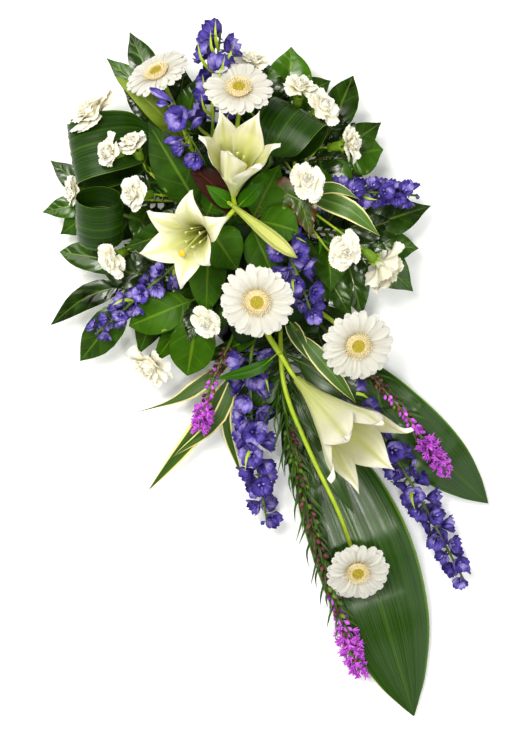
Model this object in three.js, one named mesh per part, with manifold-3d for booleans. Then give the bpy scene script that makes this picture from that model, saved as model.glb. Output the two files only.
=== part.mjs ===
// A single ended funeral spray: cut flowers and foliage standing in a brick of wet floral foam on a plastic tray.
// Millimetres, +Z up. The origin is the middle of the tray's flat underside. The spray lies on its tray:
// the round head is above the origin and the long tail runs out towards -Y and +X.
// Every cut stem has its own plain hole in the foam. Blooms, stems, spikes and leafy branches are separate solids
// that keep a small gap to each other; leaves give way to the stems and blooms that pass through them.
import * as THREE from "three";
import { mergeVertices } from "three/addons/utils/BufferGeometryUtils.js";
import Module from "manifold-3d";

const wasm = await Module();
wasm.setup();

// Driving dimensions
const gap = 0.35; // clearance between neighbouring pieces
const tailAngle = THREE.MathUtils.degToRad(-68.5); // the way the tray and the tail point, from +X
const tray = {
  length: 282, width: 150, height: 24, wall: 2.5, floor: 3,
  prongs: 4, prongHeight: 16, prongRadius: 3,
};
const foam = { length: 230, width: 110, height: 75, corner: 8 };
const stemRadius = {
  gerbera: 2.8, lily: 3.6, bud: 2.2, carnation: 1.5, delphinium: 2.4, liatris: 2.2, aspidistra: 2.4, branch: 1.9,
};
const leafThickness = 1.5; // at the midrib; a blade thins to its edge
const goldenAngle = Math.PI * (3 - Math.sqrt(5));

const vec = (x, y, z) => new THREE.Vector3(x, y, z);
const up = vec(0, 0, 1);
const point = ([x, y, z]) => vec(x, y, z);

// The direction a bloom faces: azimuth from +X and tilt from straight up, in degrees
function facing(azimuth, tilt) {
  return vec(1, 0, 0)
    .applyAxisAngle(vec(0, 1, 0), THREE.MathUtils.degToRad(tilt - 90))
    .applyAxisAngle(up, THREE.MathUtils.degToRad(azimuth));
}

// Two directions square to a third one
function crossAxes(direction) {
  const helper = Math.abs(direction.z) < 0.95 ? up : vec(1, 0, 0);
  const across = vec().crossVectors(helper, direction).normalize();
  return [across, vec().crossVectors(direction, across)];
}

// Turns a closed three.js geometry into a solid, with each vertex put where place() says
function solidOf(geometry, place = (p) => p) {
  const bare = geometry.clone();
  bare.deleteAttribute("normal");
  bare.deleteAttribute("uv");
  const merged = mergeVertices(bare, 1e-3);
  const position = merged.getAttribute("position");
  const vertProperties = new Float32Array(position.count * 3);
  for (let i = 0; i < position.count; i++) {
    place(vec().fromBufferAttribute(position, i)).toArray(vertProperties, i * 3);
  }
  const triVerts = new Uint32Array(merged.index.array);
  const made = new wasm.Manifold(new wasm.Mesh({ numProp: 3, vertProperties, triVerts }));
  if (made.volume() > 0) return made;
  for (let i = 0; i < triVerts.length; i += 3) {
    [triVerts[i + 1], triVerts[i + 2]] = [triVerts[i + 2], triVerts[i + 1]];
  }
  return new wasm.Manifold(new wasm.Mesh({ numProp: 3, vertProperties, triVerts }));
}

// Thin lens shaped blade along a row of stations { at, side, face, half, lift }
function blade(stations, thickness, grow = 0) {
  const last = stations.length - 1;
  const start = vec().subVectors(stations[0].at, stations[1].at).setLength(3 * grow);
  const end = vec().subVectors(stations[last].at, stations[last - 1].at).setLength(3 * grow);
  return solidOf(new THREE.SphereGeometry(1, 4, last), (p) => {
    const i = Math.round((Math.acos(THREE.MathUtils.clamp(p.y, -1, 1)) / Math.PI) * last);
    const { at, side, face, half, lift } = stations[i];
    if (i === 0) return at.clone().add(start);
    if (i === last) return at.clone().add(end);
    if (Math.abs(p.x) > Math.abs(p.z)) {
      const wide = half + grow * (2 + 0.1 * half);
      const edge = at.clone().addScaledVector(side, Math.sign(p.x) * wide);
      return edge.addScaledVector(face, (lift * wide) / half);
    }
    return at.clone().addScaledVector(face, Math.sign(p.z) * (thickness / 2 + 1.5 * grow));
  });
}

// Outlines as [place along the blade, share of the half width]
const outlines = {
  ovate: [[0, 0], [0.1, 0.1], [0.28, 0.8], [0.5, 1], [0.78, 0.66], [1, 0]],
  lance: [[0, 0], [0.12, 0.25], [0.4, 1], [0.72, 0.7], [1, 0]],
  broad: [[0, 0], [0.08, 0.12], [0.2, 0.55], [0.38, 0.92], [0.56, 1], [0.73, 0.88], [0.88, 0.52], [1, 0]],
  needle: [[0, 0], [0.35, 1], [1, 0]],
};

// A leaf whose midrib runs through the given points; fold raises its edges into a shallow V
function leaf({ along, width, arch = 0.1, fold = 0.14, outline = "ovate" }, grow = 0) {
  const ends = along.map(point);
  if (ends.length === 2) {
    const middle = vec().lerpVectors(ends[0], ends[1], 0.5);
    ends.splice(1, 0, middle.addScaledVector(up, arch * ends[0].distanceTo(ends[1])));
  }
  const midrib = new THREE.CatmullRomCurve3(ends);
  const stations = outlines[outline].map(([t, share]) => {
    const tangent = midrib.getTangent(t);
    const side = vec().crossVectors(tangent, up).normalize();
    const half = (share * width) / 2;
    return { at: midrib.getPoint(t), side, face: vec().crossVectors(side, tangent), half, lift: fold * half };
  });
  return blade(stations, leafThickness, grow);
}

// The point at share t of a stem that is drawn in the given number of straight steps
function onStem(path, steps, t) {
  const k = Math.min(Math.floor(t * steps), steps - 1);
  return path.getPointAt(k / steps).lerp(path.getPointAt((k + 1) / steps), t * steps - k);
}

// Leaves that grow from a stem: each starts at share from of the stem and ends at its tip
function leavesOn(stem, steps, leaves, grow = 0) {
  const path = new THREE.CatmullRomCurve3(stem.map(point));
  return leaves.map((one) => leaf({ ...one, along: [onStem(path, steps, one.from).toArray(), one.tip] }, grow));
}

// A stem of even thickness through the given points
function stalk(points, radius, { steps = 4, sides = 5, grow = 0 } = {}) {
  const path = new THREE.CatmullRomCurve3(points.map((p) => (Array.isArray(p) ? point(p) : p)));
  const section = new THREE.Shape();
  for (let k = 0; k < sides; k++) {
    const angle = (2 * Math.PI * k) / sides;
    section[k ? "lineTo" : "moveTo"]((radius + grow) * Math.cos(angle), (radius + grow) * Math.sin(angle));
  }
  const ends = [0, 1].map((t) => (
    { at: path.getPointAt(t), out: path.getTangentAt(t).multiplyScalar(t ? 1 : -1) }));
  const extruded = new THREE.ExtrudeGeometry(section, { steps, bevelEnabled: false, extrudePath: path });
  return solidOf(extruded, (p) => {
    for (const { at, out } of ends) {
      const offset = vec().subVectors(p, at);
      const onEnd = Math.abs(offset.dot(out)) < 0.01 && offset.length() < 2 * (radius + grow);
      if (onEnd) return p.addScaledVector(out, grow);
    }
    return p;
  });
}

// A few-sided spindle between two points: a bud, an anther or a filament
function spindle(from, to, radius, { sides = 4, bands = 2, grow = 0 } = {}) {
  const axis = vec().subVectors(to, from);
  const [u, w] = crossAxes(axis.clone().normalize());
  const stretch = axis.clone().setLength(grow);
  return solidOf(new THREE.SphereGeometry(1, sides, bands), (p) => {
    const t = Math.round((Math.acos(THREE.MathUtils.clamp(p.y, -1, 1)) / Math.PI) * bands) / bands;
    const swell = (radius + grow) * (bands > 2 ? 1 : 1.1);
    return from.clone().addScaledVector(axis, t)
      .addScaledVector(stretch, t === 0 ? -1 : t === 1 ? 1 : 0)
      .addScaledVector(u, p.x * swell).addScaledVector(w, p.z * swell);
  });
}

// A turned solid about a direction; the profile is [radius, height] from the axis and back to it
function turned(profile, at, axis, segments, grow = 0) {
  const [u, w] = crossAxes(axis);
  const heights = profile.map(([, h]) => h);
  const [low, high] = [Math.min(...heights), Math.max(...heights)];
  const geometry = new THREE.LatheGeometry(profile.map(([r, h]) => new THREE.Vector2(r, h)), segments);
  return solidOf(geometry, (p) => {
    const out = Math.hypot(p.x, p.z);
    const share = out > 0.01 ? (out + grow) / out : 0;
    return at.clone().addScaledVector(u, p.x * share).addScaledVector(w, p.z * share)
      .addScaledVector(axis, p.y + (p.y < low + 0.01 ? -grow : p.y > high - 0.01 ? grow : 0));
  });
}

const join = (solids) => wasm.Manifold.union(solids);

// Gerbera: a ring of long ray petals, a shorter ring over it and the low domed disc, in one head
const gerberas = {
  gerbera_1: {
    at: [-103, 195, 118], azimuth: 120, tilt: 50, diameter: 84,
    stem: [[-45, 56, 48], [-64, 108, 88]],
  },
  gerbera_2: {
    at: [-7, 172, 158], azimuth: 90, tilt: 36, diameter: 82,
    stem: [[-20, 67, 48], [-12, 112, 100]],
  },
  gerbera_3: {
    at: [14, -76, 186], azimuth: -60, tilt: 8, diameter: 90,
    stem: [[11, -34, 45], [13, -62, 120]],
  },
  gerbera_4: {
    at: [133, -126, 130], azimuth: -30, tilt: 14, diameter: 88,
    stem: [[51, -59, 50], [98, -92, 90]],
  },
  gerbera_5: {
    at: [136, -399, 64], azimuth: -80, tilt: 28, diameter: 78,
    stem: [[42, -86, 55], [47, -174, 88], [76, -250, 84], [113, -328, 68]],
  },
};
const gerberaParts = {
  rays: 14, notch: 0.84, disc: 0.16,
  neck: 9.5, straight: 22, cup: 0.12, cupSides: 7,
};

// Rows of a gerbera from its back to its middle: radius as a share of the head's or the disc's, height in mm,
// whether its petals are the outer ones or the inner ones between them, and how an envelope's row moves
const gerberaRows = [
  { head: 0, height: -3, rise: -1 },
  { head: 1, height: 3.5, tips: "outer", spread: 5, rise: 0.6 },
  { head: 0.44, height: 1.6, spread: 2.5 },
  { head: 0.74, height: 6, tips: "inner", spread: 5, rise: 1.3 },
  { disc: 1, height: 3, spread: 1, rise: 1 },
  { disc: 0.9, height: 5, spread: 1, rise: 1 },
  { head: 0, height: 6, rise: 1 },
];

function gerberaHead({ at, azimuth, tilt, diameter }, grow = 0) {
  const centre = point(at);
  const face = facing(azimuth, tilt);
  const [u, w] = crossAxes(face);
  const { rays, notch, disc } = gerberaParts;
  const last = gerberaRows.length - 1;
  const profile = gerberaRows.map((_, j) => new THREE.Vector2(j === 0 || j === last ? 0 : 1, j));
  return solidOf(new THREE.LatheGeometry(profile, rays * 2), (p) => {
    const { head, disc: core, height, tips, spread = 0, rise = 0 } = gerberaRows[Math.round(p.y)];
    const spoke = Math.round((Math.atan2(p.x, p.z) / Math.PI) * rays + 2 * rays) % (2 * rays);
    const angle = (Math.PI * spoke) / rays;
    const full = core ? core * disc * diameter : (head * diameter) / 2;
    const cut = tips && (spoke % 2 === 0) === (tips === "inner") ? notch : 1;
    const out = full * cut + spread * grow;
    return centre.clone().addScaledVector(face, height + rise * grow)
      .addScaledVector(u, out * Math.cos(angle)).addScaledVector(w, out * Math.sin(angle));
  });
}

// The green stalk of a gerbera ends in the cup of bracts behind the head
function gerberaStem({ at, azimuth, tilt, diameter, stem }, grow = 0) {
  const face = facing(azimuth, tilt);
  const neck = point(at).addScaledVector(face, -gerberaParts.neck);
  const run = [...stem, neck.clone().addScaledVector(face, -gerberaParts.straight), neck];
  const cup = diameter * gerberaParts.cup;
  const cupProfile = [[0, -4], [3.4, -3], [cup, 4.5], [cup * 0.9, 6], [0, 6]];
  return join([
    stalk(run, stemRadius.gerbera, { steps: run.length, grow }),
    turned(cupProfile, neck, face, gerberaParts.cupSides, grow),
  ]);
}

// Trumpet lily: a closed shell, long and narrow at its base and flaring into six pointed tepals that curl back
const lilies = {
  lily_1: { at: [-8, 54, 138], azimuth: 88, tilt: 30, length: 96, reach: 50, turn: 10 },
  lily_2: { at: [-32, 14, 135], azimuth: 211, tilt: 28, length: 92, reach: 54, turn: 24 },
  lily_3: { at: [62, -167, 100], azimuth: -47, tilt: 60, length: 126, reach: 60, turn: 4 },
};
const lilyParts = {
  tepals: 6, around: 24, bands: 4, wall: 1.1, reaches: [1.1, 0.92, 0.74, 0.92],
  stamen: { radius: 1.5, long: 0.78, out: 0.2 },
  style: { radius: 1.4, long: 0.86, stigma: 2.8 },
  heart: 4, floor: 7, foot: 7, footRadius: 2.8,
};

// Points of the trumpet's side as [share of its reach, share of its length]
const trumpet = new THREE.SplineCurve(
  [[0.07, 0], [0.12, 0.22], [0.2, 0.46], [0.34, 0.7], [0.6, 0.9], [0.92, 0.99], [1.06, 0.95]].map(
    (p) => new THREE.Vector2(...p),
  ),
);

// Splits each quad of the inner side along the same diagonal as the outer side, so that the thin walls never cross
function splitInnerSideAlike(index, columns, bandsInAll, firstInner) {
  for (let i = 0; i < columns; i++) {
    for (let j = firstInner; j < bandsInAll; j++) {
      const at = 6 * (i * bandsInAll + j);
      const [a, b, d, c] = index.slice(at, at + 4);
      index.set([a, b, c, a, c, d], at);
    }
  }
}

function lilyBloom({ at, azimuth, tilt, length, reach, turn }, grow = 0) {
  const base = point(at);
  const axis = facing(azimuth, tilt);
  const [u, w] = crossAxes(axis);
  const { around, bands, wall, tepals, reaches, stamen } = lilyParts;
  const rows = 2 * bands + 4;
  const profile = Array.from({ length: rows }, (_, j) =>
    new THREE.Vector2(j === 0 || j === rows - 1 ? 0 : 1, j / rows));
  const onShell = (share, outer, rimOut, angle) => {
    const spot = trumpet.getPoint(Math.min(share, 1));
    const slope = trumpet.getTangent(Math.min(share, 1));
    const inset = outer ? -grow : wall + grow;
    const r = spot.x * reach - slope.y * inset + slope.x * rimOut;
    const h = spot.y * length + slope.x * inset + slope.y * rimOut;
    return base.clone().addScaledVector(axis, h)
      .addScaledVector(u, r * Math.cos(angle)).addScaledVector(w, r * Math.sin(angle));
  };
  const lathe = new THREE.LatheGeometry(profile, around);
  splitInnerSideAlike(lathe.index.array, around, rows - 1, bands + 2);
  const shell = solidOf(lathe, (p) => {
    const j = Math.round(p.y * rows);
    if (j === 0) return base.clone().addScaledVector(axis, -grow);
    if (j === rows - 1) return base.clone().addScaledVector(axis, lilyParts.floor);
    const spoke = Math.round((Math.atan2(p.x, p.z) / (2 * Math.PI)) * around + around) % around;
    const angle = (2 * Math.PI * spoke) / around + THREE.MathUtils.degToRad(turn);
    const share = reaches[spoke % reaches.length] / reaches[0];
    const outer = j <= bands + 1;
    const band = outer ? j - 1 : 2 * bands + 2 - j;
    return onShell((band / bands) * share, outer, band === bands ? 2 * grow : 0, angle);
  });
  const heart = base.clone().addScaledVector(axis, lilyParts.heart);
  const style = base.clone().addScaledVector(axis, length * lilyParts.style.long);
  const { stigma } = lilyParts.style;
  const stamens = Array.from({ length: tepals }, (_, k) => {
    const angle = (2 * Math.PI * (k + 0.5)) / tepals;
    const out = vec().addScaledVector(u, Math.cos(angle)).addScaledVector(w, Math.sin(angle));
    const tip = base.clone().addScaledVector(axis, length * stamen.long).addScaledVector(out, reach * stamen.out);
    return spindle(heart.clone().addScaledVector(out, 1), tip, stamen.radius, { sides: 3, grow });
  });
  return join([
    shell,
    ...stamens,
    spindle(heart, style, lilyParts.style.radius, { sides: 3, grow }),
    spindle(style.clone().addScaledVector(axis, -3), style.clone().addScaledVector(axis, 3), stigma, { grow }),
  ]);
}

// Lily stems: one carries two open flowers and a long closed bud, the other the flower of the tail
const lilyStems = {
  lily_stem_head: {
    trunk: [[-15, 32, 45], [-12, 33, 92], [-11, 36, 122]],
    flowers: ["lily_1", "lily_2"],
    bud: { from: [-19, 41, 148], to: [61, -26, 178], radius: 11 },
    leaves: [
      { from: 0.96, tip: [-46, 62, 140], width: 20 },
      { from: 0.92, tip: [24, 68, 136], width: 20 },
    ],
  },
  lily_stem_tail: {
    trunk: [[25, -74, 50], [26, -110, 92], [42, -137, 100]],
    flowers: ["lily_3"],
    leaves: [
      { from: 0.88, tip: [-33, -172, 92], width: 18, outline: "lance", arch: 0.14 },
      { from: 0.7, tip: [-51, -161, 84], width: 22, outline: "lance", arch: 0.1 },
      { from: 0.97, tip: [98, -158, 92], width: 16, outline: "lance" },
    ],
  },
};

function lilyStem({ trunk, flowers, bud, leaves }, grow = 0) {
  const top = point(trunk.at(-1));
  const solids = [stalk(trunk, stemRadius.lily, { steps: 4, grow })];
  for (const name of flowers) {
    const { at, azimuth, tilt } = lilies[name];
    const axis = facing(azimuth, tilt);
    const seat = point(at).addScaledVector(axis, -gap);
    const foot = seat.clone().addScaledVector(axis, -lilyParts.foot);
    solids.push(stalk([top, foot, seat], lilyParts.footRadius, { steps: 3, grow }));
  }
  if (bud) {
    const from = point(bud.from);
    const underBud = from.clone().add(vec(0, 0, -3));
    const intoBud = from.clone().lerp(point(bud.to), 0.12);
    solids.push(stalk([top, underBud, intoBud], stemRadius.bud, { grow }));
    solids.push(spindle(from, point(bud.to), bud.radius, { sides: 6, bands: 6, grow }));
  }
  return join([...solids, ...leavesOn(trunk, 4, leaves, grow)]);
}

// Spray carnations: frilled blooms of jagged cups, each in a green calyx on a branching stem
const carnations = {
  carnation_1: { at: [-185, 154, 88], azimuth: 143, tilt: 62, diameter: 54 },
  carnation_2: { at: [-162, 103, 126], azimuth: 165, tilt: 24, diameter: 38 },
  carnation_3: { at: [-134, 113, 128], azimuth: 70, tilt: 36, diameter: 36 },
  carnation_4: { at: [-132, 52, 138], azimuth: 200, tilt: 16, diameter: 42 },
  carnation_5: { at: [-208, 60, 76], azimuth: 170, tilt: 60, diameter: 36 },
  carnation_6: { at: [-161, -24, 98], azimuth: 215, tilt: 40, diameter: 40 },
  carnation_7: { at: [-116, -151, 66], azimuth: 235, tilt: 52, diameter: 56 },
  carnation_8: { at: [-47, -100, 126], azimuth: 250, tilt: 24, diameter: 38 },
  carnation_9: { at: [8, 214, 104], azimuth: 75, tilt: 62, diameter: 40 },
  carnation_10: { at: [66, 182, 112], azimuth: 80, tilt: 50, diameter: 42 },
  carnation_11: { at: [94, 158, 116], azimuth: 40, tilt: 42, diameter: 46 },
  carnation_12: { at: [128, 113, 108], azimuth: 5, tilt: 62, diameter: 44 },
  carnation_13: { at: [73, 64, 168], azimuth: 60, tilt: 12, diameter: 46 },
  carnation_14: { at: [116, -17, 142], azimuth: -10, tilt: 18, diameter: 46 },
  carnation_15: { at: [168, -34, 104], azimuth: -5, tilt: 58, diameter: 58 },
};

// Rows of a carnation from its back to its middle, as shares of its radius; the tips of neighbouring layers alternate
const frillRows = [
  { reach: 0, height: -0.62, rise: -1.5 },
  { reach: 1, height: -0.06, tips: 0, spread: 2.5 },
  { reach: 0.62, height: 0.14, spread: 2.5 },
  { reach: 0.84, height: 0.26, tips: 1, spread: 2.5, rise: 0.4 },
  { reach: 0.42, height: 0.3, spread: 2.5, rise: 0.4 },
  { reach: 0.54, height: 0.52, tips: 0, spread: 1.5, rise: 1.5 },
  { reach: 0, height: 0.34, rise: 1.3 },
];
const frill = { around: 12, notch: 0.86, wave: 0.09 };

function carnationBloom({ at, azimuth, tilt, diameter }, grow = 0) {
  const centre = point(at);
  const face = facing(azimuth, tilt);
  const [u, w] = crossAxes(face);
  const last = frillRows.length - 1;
  const profile = frillRows.map((_, j) => new THREE.Vector2(j === 0 || j === last ? 0 : 1, j));
  return solidOf(new THREE.LatheGeometry(profile, frill.around), (p) => {
    const { reach, height, tips, spread = 0, rise = 0 } = frillRows[Math.round(p.y)];
    const spoke = Math.round((Math.atan2(p.x, p.z) / (2 * Math.PI)) * frill.around + frill.around);
    const angle = (2 * Math.PI * spoke) / frill.around;
    const jagged = tips !== undefined;
    const radius = diameter / 2;
    const out = radius * reach * (jagged && spoke % 2 !== tips ? frill.notch : 1) + spread * grow;
    const wave = jagged ? frill.wave * (spoke % 4 < 2 ? 1 : -1) : 0;
    return centre.clone().addScaledVector(face, radius * (height + wave) + rise * grow)
      .addScaledVector(u, out * Math.cos(angle)).addScaledVector(w, out * Math.sin(angle));
  });
}

// Blooms that press together and count as one piece
const touchingCarnations = { carnation_pair_left: [2, 3], carnation_pair_right: [10, 11] };

const calyx = { length: 16, profile: [[0, 0], [4.6, 6], [5, 16], [0, 16]], sides: 5, bend: 12 };
const carnationStems = {
  carnation_stem_left: {
    trunk: [[-47, 32, 40], [-69, 44, 74], [-90, 56, 84]],
    blooms: [1, 2, 3, 4, 5, 6],
  },
  carnation_stem_right: {
    trunk: [[21, 45, 40], [44, 61, 80], [62, 76, 92]],
    blooms: [9, 10, 11, 12, 13, 14, 15],
  },
  carnation_stem_low: {
    trunk: [[-9, -65, 35], [-32, -90, 66], [-46, -101, 78]],
    blooms: [7, 8],
  },
};

function carnationStem({ trunk, blooms }, grow = 0) {
  const path = new THREE.CatmullRomCurve3(trunk.map(point));
  const solids = [stalk(trunk, stemRadius.carnation + 0.6, { steps: 3, sides: 4, grow })];
  for (const [order, number] of blooms.entries()) {
    const fork = onStem(path, 3, 0.98 - 0.38 * (order / blooms.length));
    const { at, azimuth, tilt, diameter } = carnations["carnation_" + number];
    const face = facing(azimuth, tilt);
    const mouth = point(at).addScaledVector(face, (frillRows[0].height * diameter) / 2 - 2.5 * gap);
    const foot = mouth.clone().addScaledVector(face, -calyx.length);
    const bend = foot.clone().addScaledVector(face, -calyx.bend);
    const seat = foot.clone().addScaledVector(face, 2);
    solids.push(
      turned(calyx.profile, foot, face, calyx.sides, grow),
      stalk([fork, bend, seat], stemRadius.carnation, { steps: 3, sides: 4, grow }),
    );
  }
  return join(solids);
}

const spikeParts = { columns: 6, stemRings: 3, jitter: 0.2, tableClearance: 3 };

// A flower spike: a round stem whose upper part is raised into staggered rows of pointed florets.
// rings are { t, out, dip }: a place along the path and how far its florets and the dips between them stand out
function spike(path, rings, grow = 0) {
  const last = rings.length + 1;
  const columns = spikeParts.columns;
  return solidOf(new THREE.SphereGeometry(1, columns, last), (p) => {
    const i = Math.round((Math.acos(THREE.MathUtils.clamp(p.y, -1, 1)) / Math.PI) * last);
    if (i === 0) return path.getPointAt(0).addScaledVector(path.getTangentAt(0), -grow);
    if (i === last) return path.getPointAt(1).addScaledVector(path.getTangentAt(1), 2 * grow);
    const { t, out, dip } = rings[i - 1];
    const column = Math.round((Math.atan2(p.z, p.x) / (2 * Math.PI)) * columns + columns);
    const angle = (2 * Math.PI * column) / columns;
    const [u, w] = crossAxes(path.getTangentAt(t));
    const jitter = 1 + spikeParts.jitter * Math.sin(7 * i + 3.3 * (column % columns));
    const radius = ((column + i) % 2 ? out * jitter : dip) + 1.5 * grow;
    const at = path.getPointAt(t);
    at.addScaledVector(u, radius * Math.cos(angle)).addScaledVector(w, radius * Math.sin(angle));
    return at.setZ(Math.max(at.z, spikeParts.tableClearance - grow));
  });
}
// Plain rings of the bare stem, from its cut end to share upTo of the path
const bareRings = (radius, upTo) => Array.from({ length: spikeParts.stemRings + 1 }, (_, k) => (
  { t: Math.max((k / spikeParts.stemRings) * upTo, 0.004), out: radius, dip: radius }));

// Delphinium: open florets all round the upper stem, smaller towards the buds at the tip
const delphiniums = {
  delphinium_1: {
    stem: [[-42, 78, 42], [-39, 130, 100], [-37, 187, 124], [-36, 252, 114]], from: 0.46, size: 21,
    side: { stem: [[-42, 79, 44], [-54, 102, 108], [-76, 136, 142], [-98, 166, 146]], from: 0.5, size: 18 },
  },
  delphinium_2: {
    stem: [[12, 25, 40], [72, 50, 88], [144, 57, 92], [222, 57, 82]],
    from: 0.42, size: 22,
  },
  delphinium_3: {
    stem: [[-37, 3, 38], [-78, -26, 84], [-126, -66, 86], [-180, -112, 66]],
    from: 0.42, size: 19,
  },
  delphinium_4: {
    stem: [[20, 12, 45], [42, -3, 106], [62, -42, 134], [80, -92, 130]],
    from: 0.42, size: 24,
  },
  delphinium_5: {
    stem: [[21, -92, 35], [14, -134, 66], [13, -229, 56], [28, -345, 26]],
    from: 0.2, size: 25,
  },
  delphinium_6: {
    stem: [[55, -85, 38], [103, -156, 70], [188, -271, 52], [272, -420, 24]],
    from: 0.3, size: 23,
  },
};
const delphiniumParts = { spacing: 0.48, dip: 0.3, tip: 0.45 };

function delphiniumSpike({ stem, from, size, side }, grow = 0) {
  const path = new THREE.CatmullRomCurve3(stem.map(point));
  const { spacing, dip, tip } = delphiniumParts;
  const count = Math.round((path.getLength() * (1 - from)) / (size * spacing));
  const florets = Array.from({ length: count }, (_, k) => {
    const out = size * (1 - (1 - tip) * (k / count) ** 2) * (k ? 1 : 0.7);
    return { t: from + (1 - from) * ((k + 0.7) / (count + 0.5)), out, dip: out * dip };
  });
  const one = spike(path, [...bareRings(stemRadius.delphinium, from), ...florets], grow);
  return side ? join([one, delphiniumSpike(side, grow)]) : one;
}

// Liatris: a slim spike, feathery and purple at its end, set with buds and then needle leaves further down
const liatris = {
  liatris_1: {
    stem: [[-4, -90, 40], [-18, -122, 62], [-40, -172, 68], [-55, -228, 60]],
    buds: 0.5, tufts: 0.72, leaves: 2,
  },
  liatris_2: {
    stem: [[63, -70, 38], [114, -126, 76], [180, -194, 82], [243, -278, 68]],
    buds: 0.5, tufts: 0.8, leaves: 3,
  },
  liatris_3: {
    stem: [[36, -95, 25], [46, -192, 62], [88, -368, 58], [140, -528, 20]],
    buds: 0.5, tufts: 0.86, leaves: 12,
  },
};
const liatrisParts = {
  tuft: 9, tuftSpacing: 6.5, bud: 4.6, budSpacing: 8,
  leavesFrom: 0.22, leafLength: 52, leafWidth: 5,
};

function liatrisSpike({ stem, buds, tufts, leaves }, grow = 0) {
  const path = new THREE.CatmullRomCurve3(stem.map(point));
  const { tuft, tuftSpacing, bud, budSpacing, leavesFrom, leafLength, leafWidth } = liatrisParts;
  const rows = (from, to, spacing, out) => {
    const count = Math.round((path.getLength() * (to - from)) / spacing);
    return Array.from({ length: count }, (_, k) => (
      {
        t: from + ((to - from) * (k + 0.7)) / (count + 0.5),
        out: out(k / count),
        dip: stemRadius.liatris * 1.2,
      }));
  };
  const solids = [spike(path, [
    ...bareRings(stemRadius.liatris, buds),
    ...rows(buds, tufts, budSpacing, () => bud),
    ...rows(tufts, 1, tuftSpacing, (share) => tuft * (1 - 0.5 * share ** 2)),
  ], grow)];
  for (let k = 0; k < leaves; k++) {
    const t = leavesFrom + (tufts - leavesFrom) * (k / leaves);
    const on = path.getPointAt(t);
    const tangent = path.getTangentAt(t);
    const [u, w] = crossAxes(tangent);
    const turn = k * goldenAngle;
    const spoke = vec().addScaledVector(u, Math.cos(turn)).addScaledVector(w, Math.sin(turn));
    if (spoke.z < -0.2) spoke.z = -spoke.z;
    const tip = on.clone().addScaledVector(spoke, leafLength * 0.4).addScaledVector(tangent, leafLength);
    tip.z = Math.max(tip.z, spikeParts.tableClearance);
    const along = [on.toArray(), tip.toArray()];
    solids.push(leaf({ along, width: leafWidth, outline: "needle", arch: 0 }, grow));
  }
  return join(solids);
}

// Aspidistra leaves laid flat under the tail
const flatLeaves = {
  aspidistra_long: {
    stem: [[40, -101, 18], [50, -140, 28], [60, -182, 38]],
    along: [[56, -170, 36], [98, -270, 44], [145, -380, 36], [208, -583, 6]],
    width: 122,
  },
  aspidistra_side: {
    stem: [[67, -77, 20], [86, -98, 34], [104, -115, 46]],
    along: [[98, -110, 43], [172, -200, 56], [230, -256, 46], [299, -320, 14]],
    width: 76,
  },
};

function flatLeaf({ stem, along, width }, grow = 0) {
  return join([
    stalk(stem, stemRadius.aspidistra, { steps: 3, sides: 4, grow }),
    leaf({ along, width, outline: "broad", fold: 0.1 }, grow),
  ]);
}

// Aspidistra leaves rolled into open loops: centre of the loop, the way it reaches out and the loop's own axis
const rolledLeaves = {
  aspidistra_loop_1: {
    centre: [-150, 104, 84], outward: [-1, -0.05, 0.1], axis: [0.17, -0.9, 0.36],
    long: 60, high: 26, width: 70,
    stem: [[-58, 78, 36], [-80, 96, 66], [-100, 106, 90]],
  },
  aspidistra_loop_2: {
    centre: [-174, 26, 92], outward: [-1, 0, 0], axis: [0, 0.8, 0.6], long: 29, high: 26, width: 58,
    stem: [[-72, 20, 24], [-110, 20, 70], [-148, 30, 100]],
  },
  aspidistra_loop_3: {
    centre: [50, 120, 114], outward: [0.5, 0.8, 0.1], axis: [0.8, -0.5, 0.36],
    long: 38, high: 24, width: 74,
    stem: [[6, 70, 40], [20, 80, 96], [30, 90, 126]],
  },
};
const rolledLeafShares = [0, 0.5, 0.86, 1, 1, 1, 0.96, 0.84, 0.6, 0];
const rolledFrom = 140; // degrees round the loop at the stalk; the tip comes back to the same angle below

function rolledLeaf({ centre, outward, axis, long, high, width, stem }, grow = 0) {
  const side = point(axis).normalize();
  const out = point(outward).projectOnPlane(side).normalize();
  const rise = vec().crossVectors(side, out);
  if (rise.z < 0) rise.negate();
  const last = rolledLeafShares.length - 1;
  const stations = rolledLeafShares.map((share, k) => {
    const angle = THREE.MathUtils.degToRad(rolledFrom * (1 - (2 * k) / last));
    const radial = vec().addScaledVector(out, Math.cos(angle)).addScaledVector(rise, Math.sin(angle));
    const at = point(centre).addScaledVector(out, long * Math.cos(angle));
    at.addScaledVector(rise, high * Math.sin(angle));
    return { at, side, face: radial, half: (share * width) / 2, lift: 0 };
  });
  const start = stations[0].at;
  const joint = start.clone().lerp(stations[1].at, 0.4);
  return join([
    blade(stations, leafThickness, grow),
    stalk([...stem, start, joint], stemRadius.aspidistra, { steps: 5, sides: 4, grow }),
  ]);
}

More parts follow.
